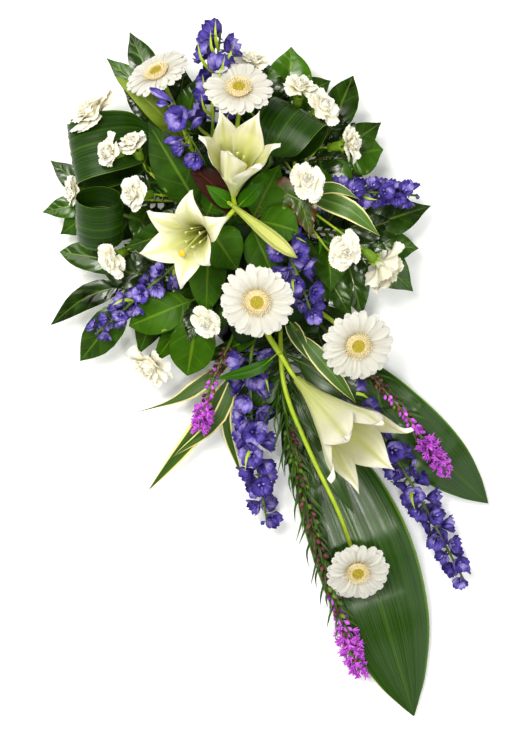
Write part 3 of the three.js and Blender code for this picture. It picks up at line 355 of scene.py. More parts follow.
waxy = {"ribs": 5, "roughness": 0.4, "speckle": 0.03}
satiny = {"ribs": 3, "depth": 0.5, "roughness": 0.42, "glow": 0.08, "speckle": 0.3}
finishes = {
    # ray florets: matt white tissue, a touch of cream near the disc, and a greyer band at each petal's edge that is
    # painted shade between the petals
    "whiteRay": petalFinish("whiteRayPetal", [(0, "#c0b78a"), (0.24, "#cbc8bb"), (1, "#d1d0c9")], 2.5, rim="#bfbcb0"),
    "creamDisc": skinFinish("creamDiscFloret", "#d6bb86", "#f0eaca", grain=1.5, roughness=0.6),
    "goldDisc": skinFinish("limeGoldDiscFloret", "#a08e20", "#cfc350", grain=1.5, roughness=0.6),
    # trumpet lily: ivory, thick and waxy, lime green down in the throat
    "ivoryTepal": petalFinish(
        "ivoryLilyTepal", [(0, "#6e781a"), (0.36, "#a6aa4f"), (0.6, "#cfcea2"), (0.8, "#e4e2d0"), (1, "#eeece3")],
        midrib="#c7c982", rim="#d2ceb3", **waxy),
    "ivoryBack": petalFinish("ivoryLilyBack", [(0, "#b8c458"), (0.3, "#e2e3b4"), (0.6, "#efecd4"), (1, "#f2f0e6")],
                             midrib="#d4d89c", **waxy),
    # a darker copy of the ivory back: painted shade for the tail lily, which its own soft box lights strongly
    "shadedIvoryBack": petalFinish("shadedIvoryLilyBack", [(0, "#9faa46"), (0.3, "#c3c590"), (0.6, "#cecdb4"), (1, "#d4d2ca")],
                             midrib="#b5bb7d", **waxy),
    "lilyFilament": skinFinish("limeLilyFilament", "#a8b450", "#dcdf9e", grain=3),
    "goldStigma": skinFinish("goldenStigma", "#cf9a1e", "#f0c23c", grain=0.8, roughness=0.7),
    "lilyBud": petalFinish("limeLilyBud", [(0, "#829224"), (0.25, "#b0b85a"), (0.7, "#c2c47c"), (1, "#8a962a")],
                           ribs=0, roughness=0.38, speckle=0.05),
    # spray carnation: papery white frills, cream in the folds
    "whiteFrill": petalFinish("whiteCarnationFrill", [(0, "#cecb90"), (0.4, "#ebe5cc"), (1, "#f4f2e6")],
                              ribs=4, depth=0.15, glow=0.55, spread=6),
    "calyx": skinFinish("smoothGreenCalyx", "#507a14", "#8eaa2e", grain=5),
    # delphinium: violet blue sepals with a satin bloom, dark in the cup and lighter where they open
    "violetSepal": petalFinish(
        "violetDelphiniumSepal", [(0, "#19114f"), (0.25, "#40328c"), (0.55, "#6857b0"), (0.82, "#41338c"),
                                  (1, "#251b68")], rim="#35287e", **satiny),
    "lilacSepal": petalFinish(
        "lilacDelphiniumSepal", [(0, "#3d3088"), (0.3, "#8073c1"), (0.6, "#a99cd4"), (0.85, "#6f61b2"),
                                 (1, "#43368c")], rim="#493b9b", **satiny),
    "paleEye": skinFinish("lilacDelphiniumEye", "#35288c", "#b3a6e2", grain=1.2, roughness=0.6),
    "violetBud": skinFinish("violetGreenBud", "#3d3596", "#7f8a58", grain=2.5),
    # liatris: bristly magenta threads over red brown scaly buds
    "magentaThread": skinFinish("magentaThreadFloret", "#a63abc", "#de7ee8", grain=2, roughness=0.6),
    "scalyBud": skinFinish("redBrownScalyBud", "#4e1630", "#8c5a56", grain=2.2, roughness=0.5),
    # stems: lime green and juicy, duller and darker with age, brown green where they turn to wood
    "freshStem": skinFinish("limeGreenStem", "#7f9e1c", "#c0d244", grain=9, roughness=0.36),
    "stem": skinFinish("midGreenStem", "#44621a", "#83a036", grain=7),
    "darkStem": skinFinish("darkGreenLeafStalk", "#26400e", "#587820", grain=7),
    "woodyStem": skinFinish("brownGreenWoodyStem", "#3a3a1a", "#6e7a34", grain=5, roughness=0.6, depth=0.3),
    # leathery shrub leaf: dark satin green above, paler and duller below
    "salal": leafFinish("leatheryGreenLeaf", "#0a1602", "#487410", "#7f9c34", roughness=0.2, specular=0.5),
    "satinGreen": leafFinish("satinGreenLeaf", "#162c03", "#44700c", "#7c9c30", roughness=0.42, specular=0.12),
    "salalLight": leafFinish("youngGreenLeaf", "#1b3602", "#436c08", "#84a22e", roughness=0.36, specular=0.16),
    "salalUnder": leafFinish("dullLeafUnderside", "#46661c", "#7c963c", "#a5b468", roughness=0.55),
    "yellowUnder": leafFinish("yellowGreenLeafUnderside", "#66801a", "#9aac38", "#c4ce6c", roughness=0.5),
    # broad leaves that turn red brown from the edge
    "burgundy": leafFinish("burgundyLeaf", "#1c0a04", "#451b0c", "#6a3420", roughness=0.5, specular=0.12),
    "redEdged": leafFinish("redEdgedLeaf", "#2c4210", "#546f1c", "#869c46", edge="#6e2c1a"),
    # narrow leaves: bright or dark glossy green with fine stripes
    "ruscus": strapFinish("glossyDarkStrapLeaf", "#0b1703", "#34560a", 18, roughness=0.25),
    "lilyLeaf": strapFinish("brightStrapLeaf", "#1c4002", "#427706", 14, middle="#608a1c", specular=0.2),
    "needle": strapFinish("needleLeaf", "#1a3804", "#446a14", 5),
    "limeBract": strapFinish("limeGreenBract", "#7c9c1c", "#bcd046", 5),
    # broad plain leaf: dark satin green between fine pale veins that run its whole length
    "aspidistra": strapFinish("ribbedPlainLeaf", "#0a1a02", "#3a640e", 60, middle="#456c14", relief=0.2,
                              edge="#6c8e30", edgeFrom=0.93, roughness=0.25, specular=0.4),
    # strap leaf with an uneven cream margin
    "variegated": strapFinish("creamEdgedStrapLeaf", "#26450a", "#587b2a", 16, edge="#e2d996"),
    "fineEdged": strapFinish("fineCreamEdgedStrapLeaf", "#24420a", "#587c2a", 16, edge="#e2dc9c", edgeFrom=0.8,
                             middle="#8ea45c"),
    "wetFoamAndShade": foamFinish("wetFloralFoamAndShade"),
    "trayPlastic": trayFinish("greenFormedTrayPlastic"),
}
print("finishes", len(finishes))


# Leaves
outlines = {  # place along the blade, share of the half width
    "ovate": [[0, 0.04], [0.09, 0.05], [0.15, 0.3], [0.27, 0.8], [0.44, 1], [0.62, 0.9], [0.78, 0.6], [0.9, 0.24],
              [1, 0.01]],
    "oval": [[0, 0.04], [0.16, 0.06], [0.24, 0.42], [0.36, 0.8], [0.54, 1], [0.71, 0.94], [0.85, 0.68], [0.94, 0.32],
             [1, 0.01]],
    "stalked": [[0, 0.04], [0.25, 0.05], [0.33, 0.3], [0.47, 0.86], [0.6, 1], [0.75, 0.88], [0.88, 0.52],
                [0.95, 0.22], [1, 0.01]],
    "whip": [[0, 0.08], [0.12, 0.3], [0.3, 0.92], [0.46, 1], [0.64, 0.5], [0.8, 0.14], [1, 0.03]],
    "lance": [[0, 0.08], [0.1, 0.2], [0.24, 0.7], [0.42, 1], [0.62, 0.86], [0.82, 0.48], [1, 0.01]],
    "broad": [[0, 0.04], [0.08, 0.14], [0.2, 0.55], [0.38, 0.92], [0.56, 1], [0.73, 0.88], [0.88, 0.52], [0.96, 0.2],
              [1, 0.01]],
    "needle": [[0, 0.3], [0.35, 1], [0.7, 0.6], [1, 0.02]],
}


def leafSurface(ends, width, outline="ovate", arch=0.1, fold=0.14, wave=0.03, droop=0.1, rows=15, columns=9):
    ends = [np.array(p, float) for p in ends]
    if len(ends) == 2:
        middle = (ends[0] + ends[1]) / 2 + up * arch * np.linalg.norm(ends[1] - ends[0])
        ends.insert(1, middle)
    line = route(ends, 80)
    way = unit(np.gradient(line, axis=0))
    s = np.linspace(-1, 1, columns)
    phase = dice.uniform(0, fullTurn)
    grid = np.empty((rows, columns, 3))
    for i, (t, share) in enumerate(route(outlines[outline], rows)):
        at, ahead = pick(line, t), unit(pick(way, t))
        side = np.cross(ahead, up)
        side = unit(side) if np.linalg.norm(side) > 0.15 else crossAxes(ahead)[0]
        face = np.cross(side, ahead)
        half = max(share, 0.01) * width / 2
        ripple = wave * width * np.sin(fullTurn * 2.2 * t + phase + 1.9 * (s > 0)) * s**2 * min(1, 3 * (1 - t))
        lift = fold * half * np.abs(s) ** 1.2 - droop * half * s**4 + ripple
        grid[i] = at + np.outer(s * half, side) + np.outer(lift, face)
    return grid


leafForm = {"stem": (2.1, 1.5), "thick": 0.6, "rib": (1.1, 0.2), "ribBelow": 0.7}


def leaf(start, width, *points, **form):  # from that share of its stem, through the points to its tip
    return {"start": start, "width": width, "points": points, **form}


def addLeaf(shape, path, start, width, points, slot=0, under=1, stalk=2, tints=(0.2, 0.95), **form):
    tint = dice.uniform(*tints)
    grid = leafSurface([pick(path, start), *points], width, **form)
    keepUp(grid)
    shape.sheet(grid, leafForm["thick"], slot, under, tint)
    rib = grid[:, grid.shape[1] // 2] - up * leafForm["ribBelow"]  # the midrib stands out below the blade
    shape.tube(rib, np.linspace(*leafForm["rib"], len(rib)), 5, stalk, tint)


# Leafy branches
branches = {
    "salal_top_left": {"kind": "salal", "stem": [[-51, 82, 28], [-77, 130, 50], [-106, 176, 56]], "leaves": [
        leaf(0.4, 28, [-112, 162, 92], [-157, 198, 84], outline="lance", slot=4),
        leaf(0.8, 32, [-168, 222, 60]),
        leaf(0.98, 36, [-140, 254, 58]),
        leaf(0.9, 34, [-87, 232, 60]),
        leaf(0.52, 38, [-55, 198, 84]),
    ]},
    "salal_top_right": {"kind": "salal", "stem": [[-4, 96, 25], [30, 138, 48], [60, 172, 55]], "leaves": [
        leaf(0.88, 56, [56, 236, 60]),
        leaf(0.98, 34, [104, 196, 50]),
        leaf(0.7, 43, [18, 222, 62]),
        leaf(0.78, 43, [112, 158, 62]),
    ]},
    "salal_right": {"kind": "salal", "stem": [[16, 82, 30], [79, 98, 52], [122, 106, 58]], "leaves": [
        leaf(0.87, 37, [165, 144, 62]),
        leaf(0.7, 42, [131, 201, 60], outline="stalked"),
        leaf(0.95, 58, [168, 112, 52]),
        leaf(0.7, 47, [128, 52, 62]),
    ]},
    "salal_lower_right": {"kind": "salal", "stem": [[38, 6, 30], [103, 12, 50], [150, -4, 52]], "leaves": [
        leaf(0.72, 47, [226, 44, 46]),
        leaf(0.98, 38, [211, -8, 50]),
        leaf(0.88, 47, [205, -60, 42]),
        leaf(0.68, 44, [143, -92, 46]),
        leaf(0.55, 47, [104, -62, 72], slot=3),
        leaf(0.28, 46, [130, -94, 58]),
    ]},
    "salal_lower_left": {"kind": "salal", "stem": [[-46, -24, 28], [-94, -37, 50], [-137, -51, 52]], "leaves": [
        leaf(0.97, 31, [-191, -66, 50], [-238, -101, 34], outline="lance", tints=(0, 0.15)),
        leaf(0.82, 44, [-202, -145, 32], outline="stalked"),
        leaf(0.9, 37, [-172, -22, 56], [-226, -12, 46], outline="oval"),
        leaf(0.64, 47, [-116, -122, 42]),
        leaf(0.5, 42, [-131, -138, 34]),
    ]},
    "salal_left": {"kind": "salal", "stem": [[-73, 53, 26], [-133, 48, 44], [-184, 50, 46]], "leaves": [
        leaf(0.98, 29, [-247, 36, 48]),
        leaf(0.93, 31, [-237, 99, 50]),
        leaf(0.86, 40, [-226, 10, 36]),
        leaf(0.7, 47, [-181, 124, 44]),
        leaf(0.4, 36, [-134, 0, 56]),
    ]},
    "salal_low": {"kind": "salal", "stem": [[-26, -53, 42], [-42, -60, 70], [-54, -70, 86]], "leaves": [
        leaf(0.88, 48, [-140, -103, 78], outline="oval", slot=3),
        leaf(0.97, 56, [-70, -163, 66], outline="oval", slot=3),
        leaf(0.62, 52, [-104, -139, 50], slot=3),
        leaf(0.8, 30, [-113, -150, 60], slot=3),
    ]},
    "salal_centre": {"kind": "salal", "stem": [[-30, 4, 45], [-42, 10, 84], [-50, 30, 100]], "leaves": [
        leaf(0.97, 56, [-115, 138, 124], slot=5),
        leaf(0.85, 40, [-144, -10, 104], slot=5),
        leaf(0.65, 47, [-47, -94, 94], slot=5),
        leaf(0.8, 56, [-8, -38, 108], slot=5),
        leaf(0.9, 49, [-18, 88, 108], slot=5),
    ]},
    "bronze_leaves": {"kind": "bronze", "stem": [[1, 14, 45], [5, 18, 84], [10, 26, 104]], "leaves": [
        leaf(0.97, 36, [-72, 92, 122], slot=3),
        leaf(0.85, 44, [58, 54, 106], [80, 2, 106], slot=4),
        leaf(0.95, 50, [64, 8, 130], outline="oval"),
        leaf(0.8, 46, [42, 90, 100]),
        leaf(0.75, 46, [40, -58, 98]),
        leaf(0.68, 44, [96, -30, 92]),
    ]},
    "dracaena_right": {"kind": "variegated", "stem": [[28, 45, 36], [50, 52, 76], [64, 58, 98]], "leaves": [
        leaf(0.97, 26, [124, 34, 124], [161, 3, 118], slot=3),
        leaf(0.85, 15, [108, 60, 122], [136, 46, 126], slot=3),
    ]},
    "dracaena_left": {"kind": "variegated", "stem": [[6, -78, 30], [-4, -116, 48], [-9, -150, 52]], "leaves": [
        leaf(0.84, 19, [-80, -190, 44], [-134, -208, 34], outline="whip"),
        leaf(0.97, 24, [-56, -226, 38], [-119, -304, 20], outline="lance"),
        leaf(0.9, 18, [-32, -214, 46], [-88, -262, 32], outline="lance"),
        leaf(0.95, 13, [-24, -215, 44], [-4, -288, 26], outline="lance"),
    ]},
    "dracaena_tail": {"kind": "variegated", "stem": [[38, -71, 50], [50, -92, 72], [60, -106, 82]], "leaves": [
        leaf(0.5, 19, [79, -146, 88], outline="lance", slot=3),
        leaf(0.97, 22, [134, -196, 80], outline="lance", slot=3),
    ]},
    "ruscus_tail": {"kind": "ruscus", "stem": [[28, -85, 28], [47, -132, 54], [67, -195, 54], [80, -262, 56]],
                    "leaves": [
        leaf(0.33, 50, [187, -202, 64]),
        leaf(0.45, 26, [108, -280, 58], outline="lance"),
        leaf(0.55, 20, [58, -305, 50], outline="lance"),
        leaf(0.36, 22, [-18, -200, 38], outline="lance"),
        leaf(0.82, 24, [132, -330, 66], outline="lance"),
        leaf(0.97, 20, [88, -350, 52], outline="lance"),
        leaf(0.08, 40, [140, -94, 56]),
        leaf(0.12, 34, [86, -142, 56]),
        leaf(0.42, 26, [-12, -222, 44], outline="lance"),
    ]},
}
kinds = {  # finishes of face, underside and stem, and how many more leaves stand close along the stem
    "salal": {"finishes": "salal salalUnder woodyStem salalLight yellowUnder satinGreen", "fill": 14, "spread": 68},
    "bronze": {"finishes": "satinGreen salalUnder woodyStem burgundy redEdged", "fill": 5, "spread": 56},
    "variegated": {"finishes": "variegated variegated stem fineEdged", "fill": 0},
    "ruscus": {"finishes": "ruscus ruscus stem", "fill": 16, "spread": 66},
}
fillForm = {"from": 0.2, "over": 0.58, "turn": 1.7, "turnLess": 1.3, "low": 14, "high": 90}


def branch(name, kind, stem, leaves):
    shape = Shape()
    path = route(stem, 24)
    shape.tube(path, np.linspace(*leafForm["stem"], len(path)), 8, 2)
    for one in leaves:
        addLeaf(shape, path, **one)
    form = kinds[kind]
    fill = form["fill"]
    narrow = kind == "ruscus"
    for k in range(fill):
        share = fillForm["from"] + fillForm["over"] * k / fill
        ahead = pick(path, share + 0.1) - pick(path, share - 0.1)
        turn = fillForm["turn"] - fillForm["turnLess"] * k / fill + dice.uniform(-0.2, 0.2)
        turn *= 1 if k % 2 else -1
        away = turnAbout(unit(ahead * [1, 1, 0.2]), up, turn)
        length = form["spread"] * dice.uniform(0.75, 1.05)
        tip = pick(path, share) + away * length + up * dice.uniform(-20, 8)
        tip[2] = min(max(tip[2], fillForm["low"]), fillForm["high"])
        width = length * (0.34 if narrow else dice.uniform(0.55, 0.66))
        slot = 5 if kind == "salal" and k % 2 and share < 0.6 else 0
        arch = dice.uniform(0.06, 0.14)
        outline = "lance" if narrow else "ovate"
        # filler leaves take only the darker tints, 0 to 0.4: painted shade for the gaps deep in the spray
        addLeaf(shape, path, share, width, [tip], slot, tints=(0, 0.4), outline=outline, arch=arch)
    shape.make(name + "_leaves", form["finishes"], name)


for name, spec in branches.items():
    branch(name, **spec)
print("leafy branches", len(branches))


# Aspidistra leaves laid flat under the tail
flatLeaves = {
    "aspidistra_long": {
        "stem": [[40, -101, 18], [50, -140, 28], [60, -182, 38]],
        "along": [[56, -170, 36], [98, -270, 44], [145, -380, 36], [208, -583, 6]],
        "width": 122,
    },
    "aspidistra_side": {
        "stem": [[67, -77, 20], [86, -98, 34], [104, -115, 46]],
        "along": [[98, -110, 43], [172, -200, 56], [230, -256, 46], [299, -320, 14]],
        "width": 76,
    },
}
aspidistraForm = {"rows": 48, "columns": 25, "stalk": 2.4, "thick": 0.8, "rib": 2.2, "ripple": 3}
rises = [[7.5, 0.51, 0.08], [7, 0.69, 0.06]]  # two cross waves that catch the light: height, place, width
rolls = [[1, 0.62, 0.15], [0.7, 0.3, 0.1]]  # where the blade leans to one side


def swells(t, rows):
    return sum(height * np.exp(-((t - place) / width) ** 2) for height, place, width in rows)


def pleatsOf(s):  # long shallow pleats between the main veins
    return np.cos(7 * math.pi * s) * (1 - s**4)


for name, spec in flatLeaves.items():
    shape = Shape()
    rows, columns = aspidistraForm["rows"], aspidistraForm["columns"]
    shape.tube(route(spec["stem"] + spec["along"][:1], 20), aspidistraForm["stalk"], 8, 1)
    grid = leafSurface(spec["along"], spec["width"], "broad", fold=0.015, wave=0.01, droop=0.06, rows=rows,
                       columns=columns)
    s = np.linspace(-1, 1, columns)
    t = route(outlines["broad"], rows)[:, :1]
    waves = aspidistraForm["ripple"] * np.sin(7 * t + 0.8 * s) + 1.5 * s * swells(t, rolls) + swells(t, rises)
    grid[:, :, 2] += (0.2 * pleatsOf(s) + waves) * np.sin(math.pi * t) ** 0.5
    keepUp(grid)
    shape.sheet(grid, aspidistraForm["thick"], 0, 0, 0.55)
    shape.tube(grid[:, columns // 2] - up, np.linspace(aspidistraForm["rib"], 0.4, rows), 6, 1)
    shape.make(name + "_blade", "aspidistra darkStem", name)

# Aspidistra leaves rolled into open loops: centre of the loop, the way it reaches out and the loop's own axis
rolledOutline = [[0, 0.03], [0.06, 0.5], [0.13, 0.88], [0.24, 1], [0.55, 1], [0.74, 0.94], [0.88, 0.66], [1, 0.02]]
closedOutline = [[0, 0.03], [0.03, 0.5], [0.07, 0.92], [0.12, 1], [0.86, 1], [0.93, 0.9], [0.97, 0.5], [1, 0.02]]
rolledLeaves = {  # from: degrees round the loop at the stalk; the tip comes back to the same angle below
    "aspidistra_loop_1": {
        "centre": [-150, 110, 84], "outward": [-1, -0.05, 0.1], "axis": [0.17, -0.9, 0.36],
        "long": 60, "high": 26, "width": 83, "from": 140, "outline": rolledOutline,
        "stem": [[-58, 78, 36], [-80, 96, 66], [-100, 106, 90]],
    },
    "aspidistra_loop_2": {
        "centre": [-174, 26, 92], "outward": [-1, 0, 0], "axis": [0, 0.8, 0.6],
        "long": 29, "high": 26, "width": 58, "from": 186, "outline": closedOutline,
        "stem": [[-72, 20, 24], [-110, 20, 70], [-148, 30, 100]],
    },
    "aspidistra_loop_3": {
        "centre": [50, 120, 114], "outward": [0.5, 0.8, 0.1], "axis": [0.8, -0.5, 0.36],
        "long": 38, "high": 24, "width": 74, "from": 140, "outline": rolledOutline,
        "stem": [[6, 70, 40], [20, 80, 96], [30, 90, 126]],
    },
}

for name, spec in rolledLeaves.items():
    shape = Shape()
    side = unit(spec["axis"])
    out = np.array(spec["outward"], float)
    out = unit(out - side * (out @ side))
    rise = np.cross(side, out)
    rise = -rise if rise[2] < 0 else rise
    rows, columns = aspidistraForm["rows"], 19
    s = np.linspace(-1, 1, columns)
    grid = np.empty((rows, columns, 3))
    for i, (t, share) in enumerate(route(spec["outline"], rows)):
        angle = math.radians(spec["from"] * (1 - 2 * t))
        at = spec["centre"] + out * spec["long"] * math.cos(angle) + rise * spec["high"] * math.sin(angle)
        half = max(share, 0.02) * spec["width"] / 2
        lift = 0.5 * pleatsOf(s) * math.sin(math.pi * t) - 1.5 * s**2
        grid[i] = at + np.outer(s * half, side) + np.outer(lift, spokeAt(out, rise, angle))
    shape.sheet(grid[:, ::-1], aspidistraForm["thick"], 0, 0, 0.4)
    middle = grid[:, columns // 2]
    shape.tube(route([*spec["stem"], middle[0], middle[3]], 24), aspidistraForm["stalk"], 8, 1)
    shape.tube(middle - unit(middle - spec["centre"]), np.linspace(2.0, 0.4, rows), 6, 1)
    shape.make(name + "_roll", "aspidistra darkStem", name)
print("aspidistra leaves", len(flatLeaves) + len(rolledLeaves))

# Gerberas: two full layers of ray florets and the domed disc
gerberas = {
    "gerbera_1": {"at": [-103, 195, 118], "azimuth": 120, "tilt": 52, "diameter": 80,
                  "stem": [[-45, 56, 48], [-64, 108, 88]]},
    "gerbera_2": {"at": [-7, 172, 158], "azimuth": 90, "tilt": 36, "diameter": 82,
                  "stem": [[-20, 67, 48], [-12, 112, 100]]},
    "gerbera_3": {"at": [14, -76, 186], "azimuth": -80, "tilt": 17, "diameter": 88,
                  "stem": [[11, -34, 45], [13, -62, 120]]},
    "gerbera_4": {"at": [133, -126, 130], "azimuth": -60, "tilt": 22, "diameter": 87,
                  "stem": [[51, -59, 50], [98, -92, 90]]},
    "gerbera_5": {"at": [136, -399, 64], "azimuth": -80, "tilt": 28, "diameter": 78,
                  "stem": [[42, -86, 55], [47, -174, 88], [76, -250, 84], [113, -328, 68]]},
}
gerberaForm = {
    "layers": [  # share of the radius reached, petals, height at the tip, at the middle, half width in mm
        {"reach": 1.0, "petals": 21, "tip": 3.0, "middle": 4.0, "half": 6.9},
        {"reach": 0.94, "petals": 19, "tip": 5.0, "middle": 5.2, "half": 6.6},
    ],
    "disc": 0.175, "discFlorets": 190, "young": 0.52, "neck": 9.5, "straight": 22, "stemRadius": 2.8, "cup": 0.12,
    "bracts": [(11, -3, 3), (13, -1, 7.5)],  # how many, and from where to where on the cup
}


def rayPetal(shape, centre, face, angle, u, w, start, reach, layer):
    rows, columns = 9, 7
    s = np.linspace(-1, 1, columns)
    out = spokeAt(u, w, angle)
    side = np.cross(face, out)
    reach = reach * dice.uniform(0.94, 1.02)
    sway, lift = dice.normal(0, 0.9), dice.normal(0, 0.8)
    half = layer["half"] * dice.uniform(0.9, 1.08)
    teeth = 0.035 * np.cos(s * 1.5 * math.pi) ** 2  # the strap ends in three small rounded teeth
    grid = np.empty((rows, columns, 3))
    for i, q in enumerate(np.linspace(0, 1, rows)):
        wide = half * (0.34 + 0.66 * math.sin(min(q * 1.25, 1) * math.pi / 2)) * (1 - 0.3 * max(0, q - 0.8) / 0.2)
        span = (start + (reach - start) * q) * np.ones(columns)
        span -= (reach - start) * q**6 * (0.1 * np.abs(s) ** 2.4 - teeth)
        high = layer["middle"] * math.sin(min(q * 1.7, 1) * math.pi / 2)
        high += (layer["tip"] - layer["middle"] + lift) * q**2 + 0.5 * (1 - q) - 1.5 * q**5
        cup = 0.9 * np.abs(s) ** 2 - 0.5 * np.cos(fullTurn * s) * (1 - np.abs(s))
        grid[i] = (centre + np.outer(span, out) + np.outer(s * wide + sway * q * q, side)
                   + np.outer(high + cup, face))
    shape.sheet(grid, 0.4, 0, 0, dice.uniform(0.2, 0.8))


def gerberaHead(name, centre, face, diameter):
    shape = Shape()
    u, w = crossAxes(face)
    core = diameter * gerberaForm["disc"]
    for layer in gerberaForm["layers"]:
        first = dice.uniform(0, 1)
        for k in range(layer["petals"]):
            angle = fullTurn * (k + first + dice.uniform(-0.16, 0.16)) / layer["petals"]
            rayPetal(shape, centre, face, angle, u, w, core * 0.8, diameter / 2 * layer["reach"], layer)
    count, inner = gerberaForm["discFlorets"], gerberaForm["young"]
    shape.turned([(0.1, 2), (core * 0.9, 2), (core * 0.95, 5), (core * inner, 6.7)], centre, face, 20, 1, 0.6)
    shape.turned([(core * inner, 6.7), (core * 0.3, 7.0), (0.1, 7.1)], centre, face, 20, 2, 0.5)
    for k in range(count):
        share = math.sqrt((k + 0.5) / count)
        out = spokeAt(u, w, k * goldenAngle)
        young = share < inner
        root = centre + out * share * core + face * (6.9 - 2.2 * share**3)
        tall = 1.5 if young else dice.uniform(2.4, 3.6)
        lean = 0.1 if young else 0.75 * share
        shape.bead(root, root + (face + out * lean) * tall, 0.8, 5, 4, 2 if young else 1, dice.uniform(0.3, 1), 0.6)
    shape.make(name + "_bloom", "whiteRay creamDisc goldDisc", name)


def gerberaStalk(name, at, face, diameter, stem):
    shape = Shape()
    neck = at - face * gerberaForm["neck"]
    line = route([*stem, neck - face * gerberaForm["straight"], neck], 40)
    radius = gerberaForm["stemRadius"]
    shape.tube(line, np.linspace(radius * 1.05, radius * 0.92, 40), 12, 0, 0.6)
    cup = diameter * gerberaForm["cup"]
    profile = [(0.1, -4), (2.9, -3.6), (cup * 0.7, 0), (cup, 4.5), (cup * 1.02, 6.6), (0.1, 6.6)]
    shape.turned(profile, neck, face, 20, 0, 0.5)
    u, w = crossAxes(face)
    s = np.linspace(-1, 1, 5)
    for ring, (count, low, high) in enumerate(gerberaForm["bracts"]):
        for k in range(count):
            out = spokeAt(u, w, fullTurn * (k + 0.5 * ring) / count)
            side = np.cross(face, out)
            grid = np.empty((5, 5, 3))
            for i, q in enumerate(np.linspace(0, 1, 5)):
                level = low + (high - low) * q
                far = np.interp(level, [-4, 0, 4.5, 8], [2.6, cup * 0.72, cup * 1.02, cup * 1.12]) + 0.7
                wide = 2.2 * math.sin(math.pi * (0.2 + 0.78 * q))
                grid[i] = neck + face * level + np.outer(far - 0.3 * s**2, out) + np.outer(s * wide, side)
            shape.sheet(grid, 0.4, 1, 1, dice.uniform(0.3, 0.7))
    shape.make(name + "_stalk", "freshStem calyx", name + "_stem")


for name, spec in gerberas.items():
    at, face = np.array(spec["at"], float), facing(spec["azimuth"], spec["tilt"])
    gerberaHead(name, at, face, spec["diameter"])
    gerberaStalk(name, at, face, spec["diameter"], spec["stem"])
print("gerberas", len(gerberas))

# Trumpet lilies: three broad and three narrow tepals, six stamens and the style. bell widens the trumpet, upright
# is a tepal that stays closed, and bent gives a tepal's own share of the reach and its turn sideways
lilies = {
    "lily_1": {"at": [-13, 51, 138], "azimuth": 84, "tilt": 35, "length": 85, "reach": 46, "turn": 4,
               "bell": 0.8, "upright": 1, "bent": {0: [1, 4], 2: [1.1, 0], 3: [1.05, -12]},
               "styleShift": [16, -18, 0], "back": "ivoryBack"},
    "lily_2": {"at": [-32, 14, 135], "azimuth": 211, "tilt": 28, "length": 92, "reach": 54, "turn": 24,
               "bell": 0, "upright": None, "bent": {0: [0.68, -15], 4: [1.13, -10], 5: [1, -5]},
               "styleShift": [-8, -16, -4], "back": "ivoryBack"},
    # lily_3 wears the darker copy of the ivory back, painted shade against the strong tail light
    "lily_3": {"at": [62, -167, 100], "azimuth": -47, "tilt": 60, "length": 124, "reach": 60, "turn": 35,
               "bell": 0.65, "upright": None, "bent": {0: [1, 15], 1: [1.35, 0], 3: [0.9, 10], 4: [1, 8], 5: [1, 10]},
               "styleShift": [-11, 11, 0], "back": "shadedIvoryBack"},
}
trumpetSide = [[0.07, 0], [0.12, 0.22], [0.2, 0.46], [0.34, 0.7], [0.6, 0.9], [0.9, 1.0], [1.1, 0.98]]
tepalHalf = [[0, 0.1], [0.22, 0.17], [0.44, 0.26], [0.58, 0.34], [0.68, 0.36], [0.77, 0.27], [0.86, 0.16],
             [0.94, 0.07], [1, 0.008]]
tepalForm = {"inner": 1.08, "outer": 0.86, "belly": 0.35, "thick": 0.8}
stamenForm = {"long": 0.78, "out": 0.2, "filament": 0.8, "anther": 5, "style": 0.86}


def tepal(shape, base, axis, u, w, angle, inner, upright, spec, grow, sideways):
    reach, bell = spec["reach"], spec["bell"]
    rows, columns = 24, 11
    s = np.linspace(-1, 1, columns)
    halves = route(tepalHalf, 60)
    curl, sway = dice.uniform(-0.05, 0.06), dice.uniform(-0.06, 0.06)
    phase = dice.uniform(0, 6)
    sway += math.radians(sideways)
    grid = np.empty((rows, columns, 3))
    for i, (out, high) in enumerate(route(trumpetSide, rows)):
        q = i / (rows - 1)
        half = np.interp(q, halves[:, 0], halves[:, 1]) * reach * tepalForm["inner" if inner else "outer"]
        half *= 1 + tepalForm["belly"] * bell * math.sin(math.pi * q)
        r = out * reach * (1 + bell * math.sin(math.pi * min(high, 1))) - (1.2 if inner else 0)
        if upright:
            r, half = min(r, reach * (0.4 + 0.26 * q**8)), half * 1.25
        spread = np.clip(s * half / max(r, 1), -1.1, 1.1)
        rest = s * half - spread * max(r, 1)
        outward = fanOf(u, w, angle + sway * q * q + spread)
        along = np.cross(axis, outward)
        bend = reach * (0.12 * s**2 * q**2 - 0.1 * np.exp(-(s / 0.2) ** 2) * q * (1 - q))
        ripple = 0.025 * reach * np.sin(9 * q + phase + 2 * (s > 0)) * s**2 * q
        flare = bell * max(0, out - 0.6)
        lift = high - (2.7 + curl * 12) * (1 - 1.2 * bell) * max(0, q - 0.86) ** 2 + 0.7 * flare
        r *= (1 - 0.3 * flare) * (1 + (grow - 1) * q * q)
        grid[i] = (base + axis * lift * spec["length"] + outward * r + along * rest[:, None]
                   + axis * (-bend + ripple)[:, None])
    shape.sheet(grid[:, ::-1], tepalForm["thick"], 0, 3, dice.uniform(0.35, 0.65))


